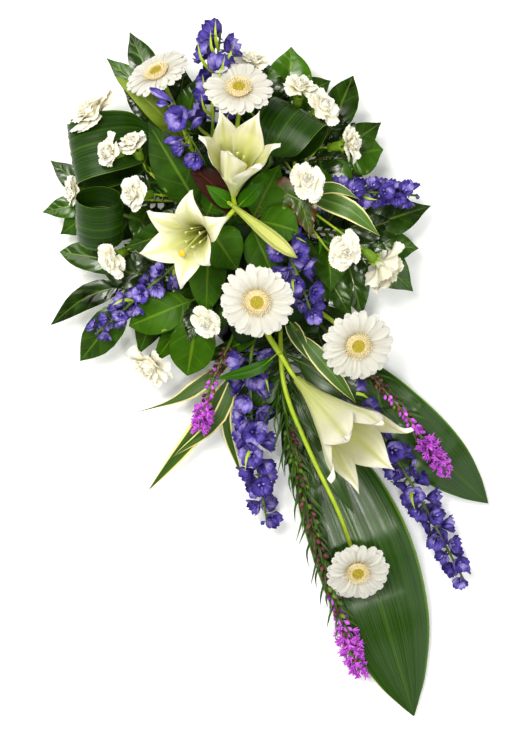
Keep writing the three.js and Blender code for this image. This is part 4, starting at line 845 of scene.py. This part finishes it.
def lilyFlower(name, spec):
    shape = Shape()
    base, axis = np.array(spec["at"], float), facing(spec["azimuth"], spec["tilt"])
    length, reach = spec["length"], spec["reach"]
    u, w = crossAxes(axis)
    for k in range(6):
        angle = math.radians(spec["turn"] + 60 * k)
        tepal(shape, base, axis, u, w, angle, k % 2 == 0, k == spec["upright"], spec, *spec["bent"].get(k, [1, 0]))
    foot = base + axis * 4
    for k in range(6):
        out = spokeAt(u, w, math.radians(60 * k + 30))
        tip = base + axis * length * stamenForm["long"] * dice.uniform(0.94, 1.0) + out * reach * stamenForm["out"]
        shape.tube(route([foot + out, foot + (tip - foot) * 0.5 + out * 1.5, tip], 12), stamenForm["filament"], 6, 1)
        across = unit(np.cross(out, axis) + 0.5 * axis) * stamenForm["anther"] / 2
        shape.bead(tip - across, tip + across, 1.1, 6, 7, 1, 0.9)
    style = base + axis * length * stamenForm["style"] + np.array(spec["styleShift"])
    shape.tube(route([foot, base + axis * length * 0.5, style], 8), np.linspace(1.4, 1.1, 8), 8, 1, 0.3)
    stigma = [(0.1, -2), (2.2, -1.6), (3.8, 0), (3.9, 1.5), (2.6, 2.8), (0.1, 3.2)]
    shape.turned(stigma, style, axis, 18, 2, 0.9, 3, 0.12)
    ovary = [(0.1, -1.5), (reach * 0.06, -0.8), (reach * 0.075, 3), (0.1, 5)]
    shape.turned(ovary, base, axis, 12, 1, 0.2, 3, 0.1)
    shape.make(name + "_flower", "ivoryTepal lilyFilament goldStigma " + spec["back"], name)


for name, spec in lilies.items():
    lilyFlower(name, spec)

# Lily stems: one carries two open flowers and a long closed bud, the other the flower of the tail
lilyStems = {
    "lily_stem_head": {
        "trunk": [[-15, 32, 45], [-12, 33, 92], [-11, 36, 122]],
        "flowers": ["lily_1", "lily_2"],
        "bud": {"from": [-19, 41, 148], "to": [61, -26, 178], "radius": 7.84},
        "leaves": [leaf(0.96, 20, [-46, 62, 140]), leaf(0.92, 20, [24, 68, 136])],
    },
    "lily_stem_tail": {
        "trunk": [[25, -74, 50], [26, -110, 92], [42, -137, 100]],
        "flowers": ["lily_3"],
        "leaves": [leaf(0.97, 16, [15, -154, 106], [-36, -167, 92]),
                   leaf(0.6, 20, [-20, -130, 51], [-70, -149, 44], slot=4)],
    },
}
lilyStemForm = {"trunk": 3.6, "neck": (3.0, 2.6), "budStalk": 2.2}
budProfile = [[0, 0.16], [0.12, 0.36], [0.32, 0.62], [0.56, 0.95], [0.7, 1], [0.84, 0.78], [0.95, 0.34], [1, 0.02]]

for name, spec in lilyStems.items():
    shape = Shape()
    trunk = route(spec["trunk"], 20)
    shape.tube(trunk, lilyStemForm["trunk"], 12, 0)
    for flower in spec["flowers"]:
        seat = np.array(lilies[flower]["at"], float)
        axis = facing(lilies[flower]["azimuth"], lilies[flower]["tilt"])
        neck = route([trunk[-1], seat - axis * 7, seat], 14)
        shape.tube(neck, np.linspace(*lilyStemForm["neck"], len(neck)), 10, 0, 0.7)
    if "bud" in spec:
        foot, tip = np.array(spec["bud"]["from"], float), np.array(spec["bud"]["to"], float)
        stalk = route([trunk[-1], foot - up * 3, foot + (tip - foot) * 0.06], 14)
        shape.tube(stalk, lilyStemForm["budStalk"], 8, 0, 0.7)
        rings = [(r * spec["bud"]["radius"], t * np.linalg.norm(tip - foot)) for t, r in route(budProfile, 30)]
        shape.turned(rings, foot, unit(tip - foot), 36, 3, 0.5, 6, 0.12)
    for one in spec["leaves"]:
        slot = one.get("slot", 1)
        addLeaf(shape, trunk, **{"outline": "lance", "stalk": 0, "under": slot, "slot": slot, **one})
    shape.make(name + "_green", "freshStem lilyLeaf stem lilyBud satinGreen", name)
print("lilies", len(lilies))

# Spray carnations: frilled petals in five layers, each bloom in its own calyx on a branching stem
carnations = {  # long: which way and how far the bloom is drawn out
    1: {"at": [-184, 154, 90], "azimuth": 143, "tilt": 52, "diameter": 60, "long": [38, 1.35]},
    2: {"at": [-162, 103, 126], "azimuth": 172, "tilt": 46, "diameter": 40, "long": [80, 1.1]},
    3: {"at": [-134, 113, 128], "azimuth": 120, "tilt": 48, "diameter": 38, "long": [30, 1.15]},
    4: {"at": [-132, 52, 138], "azimuth": 182, "tilt": 40, "diameter": 44, "long": [95, 1.12]},
    5: {"at": [-208, 60, 76], "azimuth": 170, "tilt": 60, "diameter": 36, "long": [100, 1.2]},
    6: {"at": [-161, -24, 98], "azimuth": 215, "tilt": 40, "diameter": 40, "long": [-60, 1.22]},
    7: {"at": [-116, -151, 66], "azimuth": 235, "tilt": 52, "diameter": 56, "long": [-40, 1.2]},
    8: {"at": [-47, -100, 126], "azimuth": 250, "tilt": 24, "diameter": 38, "long": [-50, 1.22]},
    9: {"at": [8, 214, 104], "azimuth": 75, "tilt": 62, "diameter": 40, "long": [0, 1.1]},
    10: {"at": [66, 182, 112], "azimuth": 80, "tilt": 50, "diameter": 42, "long": [-20, 1.12]},
    11: {"at": [94, 158, 116], "azimuth": 40, "tilt": 42, "diameter": 46, "long": [-60, 1.18]},
    12: {"at": [128, 113, 108], "azimuth": 5, "tilt": 62, "diameter": 39, "long": [100, 1.2]},
    13: {"at": [73, 64, 168], "azimuth": 60, "tilt": 12, "diameter": 46, "long": [95, 1.2]},
    14: {"at": [116, -17, 142], "azimuth": -10, "tilt": 18, "diameter": 46, "long": [80, 1.2]},
    15: {"at": [168, -34, 94], "azimuth": -38, "tilt": 116, "diameter": 62, "long": [52, 1.1]},
}
touching = {"carnation_pair_left": [2, 3], "carnation_pair_right": [10, 11]}  # blooms that press together
frillLayers = [  # share of the radius reached, height there, petals, half width as a share of the radius
    {"reach": 1.04, "high": -0.1, "petals": 5, "half": 0.62},
    {"reach": 0.86, "high": 0.18, "petals": 5, "half": 0.56},
    {"reach": 0.6, "high": 0.4, "petals": 5, "half": 0.5},
    {"reach": 0.3, "high": 0.52, "petals": 4, "half": 0.42},
    {"reach": 0.12, "high": 0.56, "petals": 3, "half": 0.3},
]
calyxForm = {"length": 20, "radius": 6.2, "foot": 2.0, "back": -0.62, "bend": 12, "trunk": 2.1, "side": 1.5}


def frillPetal(shape, centre, face, u, w, angle, radius, layer, heading, stretch):
    rows, columns = 10, 17
    s = np.linspace(-1, 1, columns)
    reach = layer["reach"] * dice.uniform(0.8, 1.08)
    high = layer["high"] + dice.uniform(-0.07, 0.07)
    start, bend, end = np.array([0.05, -0.55]), np.array([reach * 0.3, high * 0.6 + 0.1]), np.array([reach, high])
    phase, folds = dice.uniform(0, 6.28), dice.uniform(0.8, 1.6)
    teeth = 0.02 * (-1.0) ** np.arange(columns)
    grid = np.empty((rows, columns, 3))
    for i, q in enumerate(np.linspace(0, 1, rows)):
        r, h = (1 - q) ** 2 * start + 2 * q * (1 - q) * bend + q * q * end
        slope = unit(2 * (1 - q) * (bend - start) + 2 * q * (end - bend))
        half = layer["half"] * (0.1 + 0.9 * q**1.3)
        turn = np.clip(s * half / max(r, 0.12), -1.3, 1.3)
        rest = s * half - turn * max(r, 0.12)
        ruffle = (0.115 + 0.04 * np.cos(phase)) * np.sin(folds * math.pi * s + phase) * q**2
        ruffle += 0.022 * np.sin(4.3 * folds * math.pi * s + 2 * phase) * q**5
        pull = -0.14 * s**2 * q**2 + (teeth if q == 1 else 0)
        far = r - slope[1] * ruffle + slope[0] * pull
        lift = h + slope[0] * ruffle + slope[1] * pull
        outward = fanOf(u, w, angle + turn)
        grid[i] = radius * (outward * far[:, None] + lift[:, None] * face + np.cross(face, outward) * rest[:, None])
    ahead = spokeAt(np.array([1.0, 0, 0]), np.array([0, 1.0, 0]), math.radians(heading))
    for way, by in ((ahead, stretch), (np.cross(up, ahead), stretch**-0.5)):
        grid += (grid @ way)[..., None] * way * (by - 1)
    grid += centre
    keepUp(grid)
    shape.grid(grid[:, ::-1], 0, dice.uniform(0.2, 0.8))


def carnationBloom(shape, at, azimuth, tilt, diameter, long):
    centre, face = np.array(at, float), facing(azimuth, tilt)
    u, w = crossAxes(face)
    for layer in frillLayers:
        first = dice.uniform(0, 1)
        for k in range(layer["petals"]):
            angle = fullTurn * (k + first + dice.uniform(-0.25, 0.25)) / layer["petals"]
            frillPetal(shape, centre, face, u, w, angle, diameter / 2, layer, *long)
    core = [(0.1, -0.6), (0.14, -0.5), (0.3, -0.1), (0.36, 0.2), (0.24, 0.4), (0.01, 0.46)]
    shape.turned(np.array(core) * (diameter / 2), centre, face, 14, 0, 0.2, 5, 0.15)


blooms = {"carnation_%d" % number: [number] for number in carnations if number not in (2, 3, 10, 11)}
for name, members in {**blooms, **touching}.items():
    shape = Shape()
    for member in members:
        carnationBloom(shape, **carnations[member])
    shape.make(name + "_bloom", "whiteFrill", name)

carnationStems = {
    "carnation_stem_left": {"trunk": [[-47, 32, 40], [-69, 44, 74], [-90, 56, 84]], "blooms": [1, 2, 3, 4, 5, 6]},
    "carnation_stem_right": {"trunk": [[21, 45, 40], [44, 61, 80], [62, 76, 92]],
                             "blooms": [9, 10, 11, 12, 13, 14, 15]},
    "carnation_stem_low": {"trunk": [[-9, -65, 35], [-32, -90, 66], [-46, -101, 78]], "blooms": [7, 8]},
}


def calyx(shape, mouth, face):
    long, radius, foot = calyxForm["length"], calyxForm["radius"], calyxForm["foot"]
    profile = [(0.1, -long), (foot, -long), (radius * 0.72, -long * 0.8), (radius * 0.96, -long * 0.45),
               (radius, -long * 0.15), (radius * 1.06, 0.6), (radius * 0.8, 0.4)]
    shape.turned(profile, mouth, face, 15, 1, 0.5, 5, 0.05)
    u, w = crossAxes(face)
    for count, root, far, width, tint, ways in (  # teeth of the mouth, then small bracts that clasp the foot
            (5, mouth, radius * 0.97, 5.6, 0.7, ((-1, 0), (3, 0.8), (5.5, 3))),
            (4, mouth - face * long, foot, 4.4, 0.3, ((0, 0), (3, 1.8), (6.5, 2.6)))):
        for k in range(count):
            out = spokeAt(u, w, fullTurn * k / count)
            ends = [root + out * far + face * ahead + out * aside for ahead, aside in ways]
            tooth = leafSurface(ends, width, "needle", rows=6, columns=5, wave=0, droop=0)
            shape.sheet(tooth, 0.4, 1, 1, tint)


for name, spec in carnationStems.items():
    shape = Shape()
    trunk = route(spec["trunk"], 20)
    shape.tube(trunk, calyxForm["trunk"], 8, 0)
    for order, number in enumerate(spec["blooms"]):
        fork = pick(trunk, 0.98 - 0.38 * order / len(spec["blooms"]))
        bloom = carnations[number]
        face = facing(bloom["azimuth"], bloom["tilt"])
        mouth = bloom["at"] + face * (calyxForm["back"] * bloom["diameter"] / 2 - 0.9)
        foot = mouth - face * calyxForm["length"]
        line = route([fork, foot - face * calyxForm["bend"], foot + face * 2], 22)
        shape.tube(line, calyxForm["side"], 8, 0, 0.6)
        calyx(shape, mouth, face)
        for share in (0.35, 0.66):  # swollen nodes with a pair of narrow leaves
            knot = pick(line, share)
            ahead = unit(pick(line, share + 0.08) - knot)
            shape.bead(knot - ahead * 2.2, knot + ahead * 2.2, 2.2, 8, 5, 0, 0.8)
            side = turnAbout(crossAxes(ahead)[0], ahead, dice.uniform(0, 3))
            for way in (side, -side):
                ends = [knot, knot + ahead * 10 + way * 4, knot + ahead * 19 + way * 13]
                grid = leafSurface(ends, 3.6, "needle", rows=8, columns=5, wave=0)
                shape.sheet(grid, 0.5, 2, 2, dice.uniform(0.2, 0.8))
    shape.make(name + "_green", "freshStem calyx lilyLeaf", name)
print("carnations", len(carnations))

# Delphiniums: open florets spiral round the upper stem, down to closed buds at the tip
usualSpike = {"bracts": 2, "pale": 0.34, "crowd": 1, "tipSize": 0.75}
delphiniums = {
    "delphinium_1": {
        "stem": [[-42, 78, 42], [-39, 130, 100], [-35, 187, 124], [-29, 247, 113]], "from": 0.46, "size": 26,
        "bracts": 12, "tipSize": 1.08,
    },
    "delphinium_2": {"stem": [[12, 25, 40], [72, 50, 88], [144, 57, 92], [207, 54, 82]],
                     "from": 0.38, "size": 20, "crowd": 0.72},
    "delphinium_3": {"stem": [[-37, 3, 38], [-78, -26, 84], [-126, -66, 86], [-180, -112, 66]],
                     "from": 0.42, "size": 19, "pale": 0.6},
    "delphinium_4": {"stem": [[20, 12, 45], [42, -3, 106], [62, -42, 134], [80, -92, 130]], "from": 0.42, "size": 24},
    "delphinium_5": {"stem": [[21, -92, 35], [8, -134, 66], [9, -229, 56], [27, -345, 26]], "from": 0.2, "size": 25},
    "delphinium_6": {"stem": [[55, -85, 38], [103, -156, 70], [188, -271, 52], [272, -420, 24]],
                     "from": 0.3, "size": 23},
}
sideShoots = {  # a few open florets (place, azimuth, tilt, radius) and long closed buds (foot, tip)
    "delphinium_1": {
        "stem": [[-42, 79, 44], [-54, 102, 108], [-76, 136, 138], [-96, 164, 142]],
        "florets": [([-76, 141, 148], 200, 30, 19), ([-58, 96, 132], 240, 40, 15), ([-74, 108, 134], 200, 50, 13)],
        "buds": [([-84, 160, 144], [-112, 176, 146]), ([-72, 118, 136], [-96, 114, 134]),
                 ([-90, 158, 143], [-104, 158, 144]), ([-64, 128, 140], [-50, 142, 138])],
    },
}
spikeForm = {"spacing": 0.34, "floret": 0.7, "stand": 0.42, "budsFrom": 0.95, "stem": (2.5, 1.3), "shoot": (1.8, 1.1)}


def delphiniumFloret(shape, at, face, radius, pale):
    u, w = crossAxes(face)
    roll, cup = dice.uniform(0, 6.28), dice.uniform(0.35, 1.0)
    rows, columns = 7, 5
    s = np.linspace(-1, 1, columns)
    for k in range(5):
        angle = roll + fullTurn * k / 5 + dice.uniform(-0.12, 0.12)
        out = spokeAt(u, w, angle)
        side = np.cross(face, out)
        long = radius * dice.uniform(0.9, 1.08)
        grid = np.empty((rows, columns, 3))
        for i, q in enumerate(np.linspace(0, 1, rows)):
            wide = radius * 0.5 * math.sin(math.pi * (0.08 + 0.84 * q**1.3)) ** 0.8
            far = long * (0.06 + (0.98 - 0.22 * cup) * q ** (1 + 0.2 * cup))
            lift = cup * q**1.4 - 0.5 * max(0, q - 0.7) - 0.1 * (1 - q)
            lift = radius * (lift + 0.2 * s**2 * q + 0.07 * np.sin(3 * s + 5 * q + angle))
            grid[i] = at + out * far + np.outer(s * wide, side) + np.outer(lift, face)
        keepUp(grid)
        slot = 5 if dice.uniform(0, 1) < pale else 0
        shape.sheet(grid, 0.4, slot, slot, dice.uniform(0.1, 0.9))
    for k in range(3):  # the small inner petals that fill the eye
        out = spokeAt(u, w, roll + 2.1 * k)
        root = at + out * radius * 0.08
        shape.bead(root - face * 0.5, root + out * radius * 0.2 + face * radius * 0.4, radius * 0.11, 6, 5, 1,
                   dice.uniform(0, 0.9), 0.6)
    spur = np.array([at, at - face * radius * 0.5 + up * 0.5, at - face * radius * 1.05 + up * radius * 0.28])
    keepUp(spur, tableClearance + 1)
    shape.tube(route(spur, 6), [1.9, 1.7, 1.4, 1.1, 0.8, 0.4], 6, 0, 0.4)


def sideStalk(shape, path, seat, end):
    near = path[np.argmin(np.linalg.norm(path - seat, axis=1))]
    shape.tube([near, end], 0.9, 5, 2, 0.7)


def delphiniumShoot(shape, stem, florets, buds):
    path = route(stem, 40)
    shape.tube(path, np.linspace(*spikeForm["shoot"], len(path)), 8, 2, 0.6)
    for at, azimuth, tilt, radius in florets:
        at, face = np.array(at, float), facing(azimuth, tilt)
        sideStalk(shape, path, at, at - face * 2)
        delphiniumFloret(shape, at, face, radius, usualSpike["pale"])
    for foot, tip in buds:
        sideStalk(shape, path, foot, foot)
        axis = unit(np.subtract(tip, foot))
        for turn in range(3):  # three sepals wrapped round each other
            skew = 0.9 * turnAbout(crossAxes(axis)[0], axis, 2.1 * turn)
            shape.bead(foot + skew, tip + skew, 4.6, 10, 10, 0 if turn else 5, dice.uniform(0.2, 0.8), 0.6)


def delphiniumSpike(shape, stem, start, size, bracts, pale, crowd, tipSize):
    path = route(stem, 60)
    shape.tube(path, np.linspace(*spikeForm["stem"], len(path)), 10, 2)
    long = lengthOf(path) * (1 - start)
    count = round(long / (size * spikeForm["spacing"] * crowd))
    for k in range(count):
        on, ahead = pickWay(path, start + (1 - start) * (k + 0.5) / count, 0.03)
        spoke = spokeAt(*crossAxes(ahead), k * goldenAngle + dice.uniform(-0.3, 0.3))
        taper = 1 - (1 - tipSize) * (k / count) ** 2
        stand = size * spikeForm["stand"] * taper * dice.uniform(0.85, 1.15)
        if k / count > spikeForm["budsFrom"]:
            foot = on + spoke * 2.5
            tip = foot + (spoke + ahead * 0.7) * size * 0.36 * taper
            shape.bead(foot, tip, 2.9, 8, 6, 3, dice.uniform(0, 0.8), 0.6)
            continue
        at = on + spoke * stand + ahead * dice.uniform(-2, 2)
        keepUp(at, tableClearance + 2)
        face = unit(spoke + ahead * dice.uniform(0.1, 0.6) + up * dice.uniform(0, 0.5))
        shape.tube(route([on, on + spoke * stand * 0.5 - ahead * 1.5, at - face * 2], 6), 0.8, 5, 2, 0.7)
        delphiniumFloret(shape, at, face, size * spikeForm["floret"] * taper * dice.uniform(0.88, 1.08), pale)
    ahead = unit(path[-1] - path[-3])
    shape.bead(path[-1] - ahead * 3, path[-1] + ahead * 2, 2.4, 8, 5, 3, 0.4)
    for k in range(bracts):  # narrow bracts along the spike
        on, ahead = pickWay(path, start * 0.7 + (1 - start * 0.7) * 0.86 * (k + 0.3) / bracts, 0.03)
        spoke = turnAbout(crossAxes(ahead)[0], ahead, k * goldenAngle)
        spoke[2] = abs(spoke[2])
        reach = dice.uniform(0.9, 1.5) * size
        ends = [on, on + (spoke * 0.5 + ahead * 0.4 + up * 0.3) * reach,
                on + (spoke * 0.7 + ahead + up * 0.2) * reach]
        grid = leafSurface(ends, 4.2, "needle", rows=8, columns=5, wave=0)
        shape.sheet(grid, 0.4, 4, 4, dice.uniform(0.3, 0.9))


for name, spec in delphiniums.items():
    shape = Shape()
    form = {**usualSpike, **spec}
    delphiniumSpike(shape, form.pop("stem"), form.pop("from"), **form)
    if name in sideShoots:
        delphiniumShoot(shape, **sideShoots[name])
    shape.make(name + "_spike", "violetSepal paleEye stem violetBud limeBract lilacSepal", name)
print("delphiniums", len(delphiniums))

# Liatris: feathery magenta tufts at the end, scaly buds below them and needle leaves further down. buds and tufts
# are where these start; early and magenta reach back from the tufts, for single tufts and for buds that show colour
liatris = {
    "liatris_1": {
        "stem": [[-4, -90, 40], [-18, -122, 62], [-40, -172, 68], [-55, -228, 60]], "leaves": 0,
        "buds": 0.3, "tufts": 0.77, "early": 0.04, "magenta": 0.36, "stout": 1, "unripe": 0,
    },
    "liatris_2": {
        "stem": [[63, -70, 38], [114, -126, 76], [180, -194, 82], [243, -278, 68]], "leaves": 16,
        "buds": 0.45, "tufts": 0.82, "early": 0.1, "magenta": 0.32, "stout": 1, "unripe": 0,
    },
    "liatris_3": {
        "stem": [[36, -95, 25], [46, -192, 62], [88, -368, 58], [140, -528, 20]], "leaves": 80,
        "buds": 0.3, "tufts": 0.86, "early": 0.05, "magenta": 0.1, "stout": 1.3, "unripe": 0.6,
    },
}
liatrisForm = {"stem": (2.3, 1.2), "budSpacing": 2.1, "bud": 2.464, "budLong": 5.6, "threads": 17, "thread": 8.0,
               "leavesFrom": 0.12, "leafLength": 56, "leafWidth": 2.8}

for name, spec in liatris.items():
    shape = Shape()
    path = route(spec["stem"], 80)
    shape.tube(path, np.linspace(*liatrisForm["stem"], len(path)), 8, 0, 0.4)
    first, tufts = spec["buds"], spec["tufts"]
    count = round(lengthOf(path) * (1 - first) / liatrisForm["budSpacing"])
    for k in range(count):
        share = first + (1 - first) * (k + 0.5) / count
        on, ahead = pickWay(path, share, 0.02)
        spoke = spokeAt(*crossAxes(ahead), k * goldenAngle)
        small = 1 - 0.35 * max(0, (share - tufts) / (1 - tufts)) ** 2
        stout = small * spec["stout"]
        foot = on + spoke * 1.8
        tip = foot + (spoke + ahead) * liatrisForm["budLong"] * stout
        for end in (foot, tip):
            keepUp(end, tableClearance + 1)
        chance = dice.uniform(0, 1)
        slot = 2 if share > tufts - spec["magenta"] * (1 - chance) and chance < 0.66 else 1
        slot = 0 if chance > 0.97 - spec["unripe"] * (1 - share) else slot
        shape.bead(foot, tip, liatrisForm["bud"] * stout, 7, 6, slot, dice.uniform(0, 0.9), 0.55)
        opened = share > tufts or (share > tufts - spec["early"] and k % 4 == 0)
        for _ in range(liatrisForm["threads"] if opened else 0):
            way = unit(spoke * 0.75 + ahead * 0.3 + dice.normal(0, 0.5, 3))
            reach = liatrisForm["thread"] * small * dice.uniform(0.7, 1.1)
            line = np.array([tip - way * 2, tip + way * reach * 0.5, tip + way * reach + dice.normal(0, 1.1, 3)])
            keepUp(line)
            shape.tube(route(line, 4), [0.8, 1.05, 0.95, 0.6], 4, 2, dice.uniform(0, 1))
    leaves, low = spec["leaves"], liatrisForm["leavesFrom"]
    for k in range(leaves):
        on, ahead = pickWay(path, low + (tufts - low) * k / leaves, 0.02)
        spoke = turnAbout(crossAxes(ahead)[0], ahead, k * goldenAngle)
        spoke[2] = abs(spoke[2]) if spoke[2] < -0.2 else spoke[2]
        reach = liatrisForm["leafLength"] * (1 - 0.45 * k / leaves) * dice.uniform(0.8, 1.1)
        ends = np.array([on, on + ahead * reach * 0.45 + spoke * reach * 0.35,
                         on + ahead * reach * 0.9 + spoke * reach * dice.uniform(0.3, 0.75)])
        ends[2, 2] -= 4  # the tip droops
        keepUp(ends[1:])
        grid = leafSurface(ends, liatrisForm["leafWidth"], "needle", rows=9, columns=5, wave=0, fold=0.3)
        keepUp(grid)
        shape.sheet(grid, 0.4, 3, 3, dice.uniform(0.1, 0.9))
    shape.make(name + "_spike", "stem scalyBud magentaThread needle", name)
print("liatris", len(liatris))

# Foam brick, softly worn at its edges
foamSize = {"length": 230, "width": 110, "height": 75, "low": 3.35, "corner": 8, "heading": -68.5, "worn": 2.5,
            "grain": 0.22}


def foamBrick():
    shape = Shape()
    ahead = spokeAt(np.array([1.0, 0, 0]), np.array([0, 1.0, 0]), math.radians(foamSize["heading"]))
    side = np.cross(up, ahead)
    high, worn, corner = foamSize["height"], foamSize["worn"], foamSize["corner"]
    inner = 1 - worn / (foamSize["width"] / 2)
    levels = [(0.002, 0), (0.5, 0), (inner, 0), (1, worn)]
    levels += [(1, z) for z in np.linspace(worn, high - worn, 16)[1:]]
    levels += [(share, high) for share in (inner, 0.75, 0.5, 0.25, 0.002)]
    halfLong, halfWide = foamSize["length"] / 2 - corner, foamSize["width"] / 2 - corner
    outline = []
    for cx, cy, first in ((1, 1, 0), (-1, 1, 90), (-1, -1, 180), (1, -1, 270)):
        for turn in np.linspace(0, 90, 8):
            a = math.radians(first + turn)
            outline.append([cx * halfLong + corner * math.cos(a), cy * halfWide + corner * math.sin(a)])
    outline = route(outline + outline[:1], 97)[:-1]
    rings = np.array([outline[:, :1] * share * ahead + outline[:, 1:] * share * side + up * (foamSize["low"] + z)
                      for share, z in levels])
    rings[1:-1] += dice.normal(0, foamSize["grain"], rings[1:-1].shape)
    shape.grid(rings, around=True)
    shape.make("foam_brick", "wetFoamAndShade", "foam")


foamBrick()

# Tray: its CAD node is the right shape
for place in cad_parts["tray"].material_slots:
    place.material = finishes["trayPlastic"]
print("foam and tray")

# Floor: pale paper with a faint painted glow that lightens the shadows cast on it, wide enough for every view
paper, tree = newFinish("palePaperWithPaintedGlow", Roughness=0.85, Specular_IOR_Level=0.2, Emission_Strength=0.14)
clouds = spotsOf(tree, 90)
dress(paper, Base_Color=add(tree, "ValToRGB", clouds, stops=[(0.3, "#f4f5f6"), (0.7, "#f8f9fa")]))
half, drop = 3.0, 0.0005  # half its side and how far below the tray it lies, in metres
mesh = bpy.data.meshes.new("paper_floor")
mesh.from_pydata([(-half, -half, 0), (half, -half, 0), (half, half, 0), (-half, half, 0)], [], [(0, 1, 2, 3)])
mesh.materials.append(paper)
floor = bpy.data.objects.new("paper_floor", mesh)
floor.location.z = -drop
bpy.context.scene.collection.objects.link(floor)

# Light: a tent that is bright at its sides and dim round the camera
world = bpy.data.worlds.new("softTent")
world.use_nodes = True
tree = world.node_tree
backdrop = tree.nodes["Background"]
height = add(tree, "SeparateXYZ", add(tree, "TexCoord", out="Generated"), out=2)
tent = add(tree, "ValToRGB", height, stops=[(0.3, "#fffdf8"), (0.72, "#969592"), (0.95, "#3c3c3a")])
tree.links.new(tent, backdrop.inputs["Color"])
backdrop.inputs["Strength"].default_value = 0.92
bpy.context.scene.world = world
# Soft boxes: a small strong one by the lens for the highlights, a large one over the upper left shoulder, a weaker
# one opposite, and a small one for the sheen on the tail, in metres and watts
aim = np.array([0.0144, -0.159, 0.08])
softBoxes = {
    "topBox": {"at": (-0.5, 0.45, 2.6), "side": 0.6, "power": 30, "colour": "#fffdf8"},
    "wideBox": {"at": (-1.1, 0.9, 2.2), "side": 1.6, "power": 39, "colour": "#fffcf6"},
    "fillBox": {"at": (1.5, -1.1, 2.0), "side": 1.6, "power": 18, "colour": "#fafcff"},
    "tailBox": {"at": (0.27, -0.6, 2.6), "side": 0.34, "power": 18, "colour": "#fffdf8"},
}
for name, spec in softBoxes.items():
    lamp = bpy.data.lights.new(name, "AREA")
    lamp.size = spec["side"]
    lamp.energy = spec["power"]
    lamp.color = linear(spec["colour"])[:3]
    box = bpy.data.objects.new(name, lamp)
    box.location = spec["at"]
    box.rotation_mode = "QUATERNION"
    box.rotation_quaternion = Vector(aim - spec["at"]).to_track_quat("-Z", "Y")
    bpy.context.scene.collection.objects.link(box)
bpy.context.scene.view_settings.view_transform = "Standard"
bpy.context.scene.view_settings.gamma = 0.85  # the depth of a studio print

# Camera: straight down from 3 m, framed as 514 x 745 pixels of 1.2 mm at the height of the flowers
view = {"x": 14.4, "y": -159.0, "z": 3000.0, "pixel": 1.2, "focus": 90.0, "tall": 745, "sensor": 36}
lens = bpy.data.cameras.new("overhead")
lens.sensor_width = view["sensor"]
lens.lens = view["sensor"] * (view["z"] - view["focus"]) / (view["pixel"] * view["tall"])
camera = bpy.data.objects.new("overhead", lens)
camera.location = (view["x"] * mm, view["y"] * mm, view["z"] * mm)
bpy.context.scene.collection.objects.link(camera)
bpy.context.scene.camera = camera
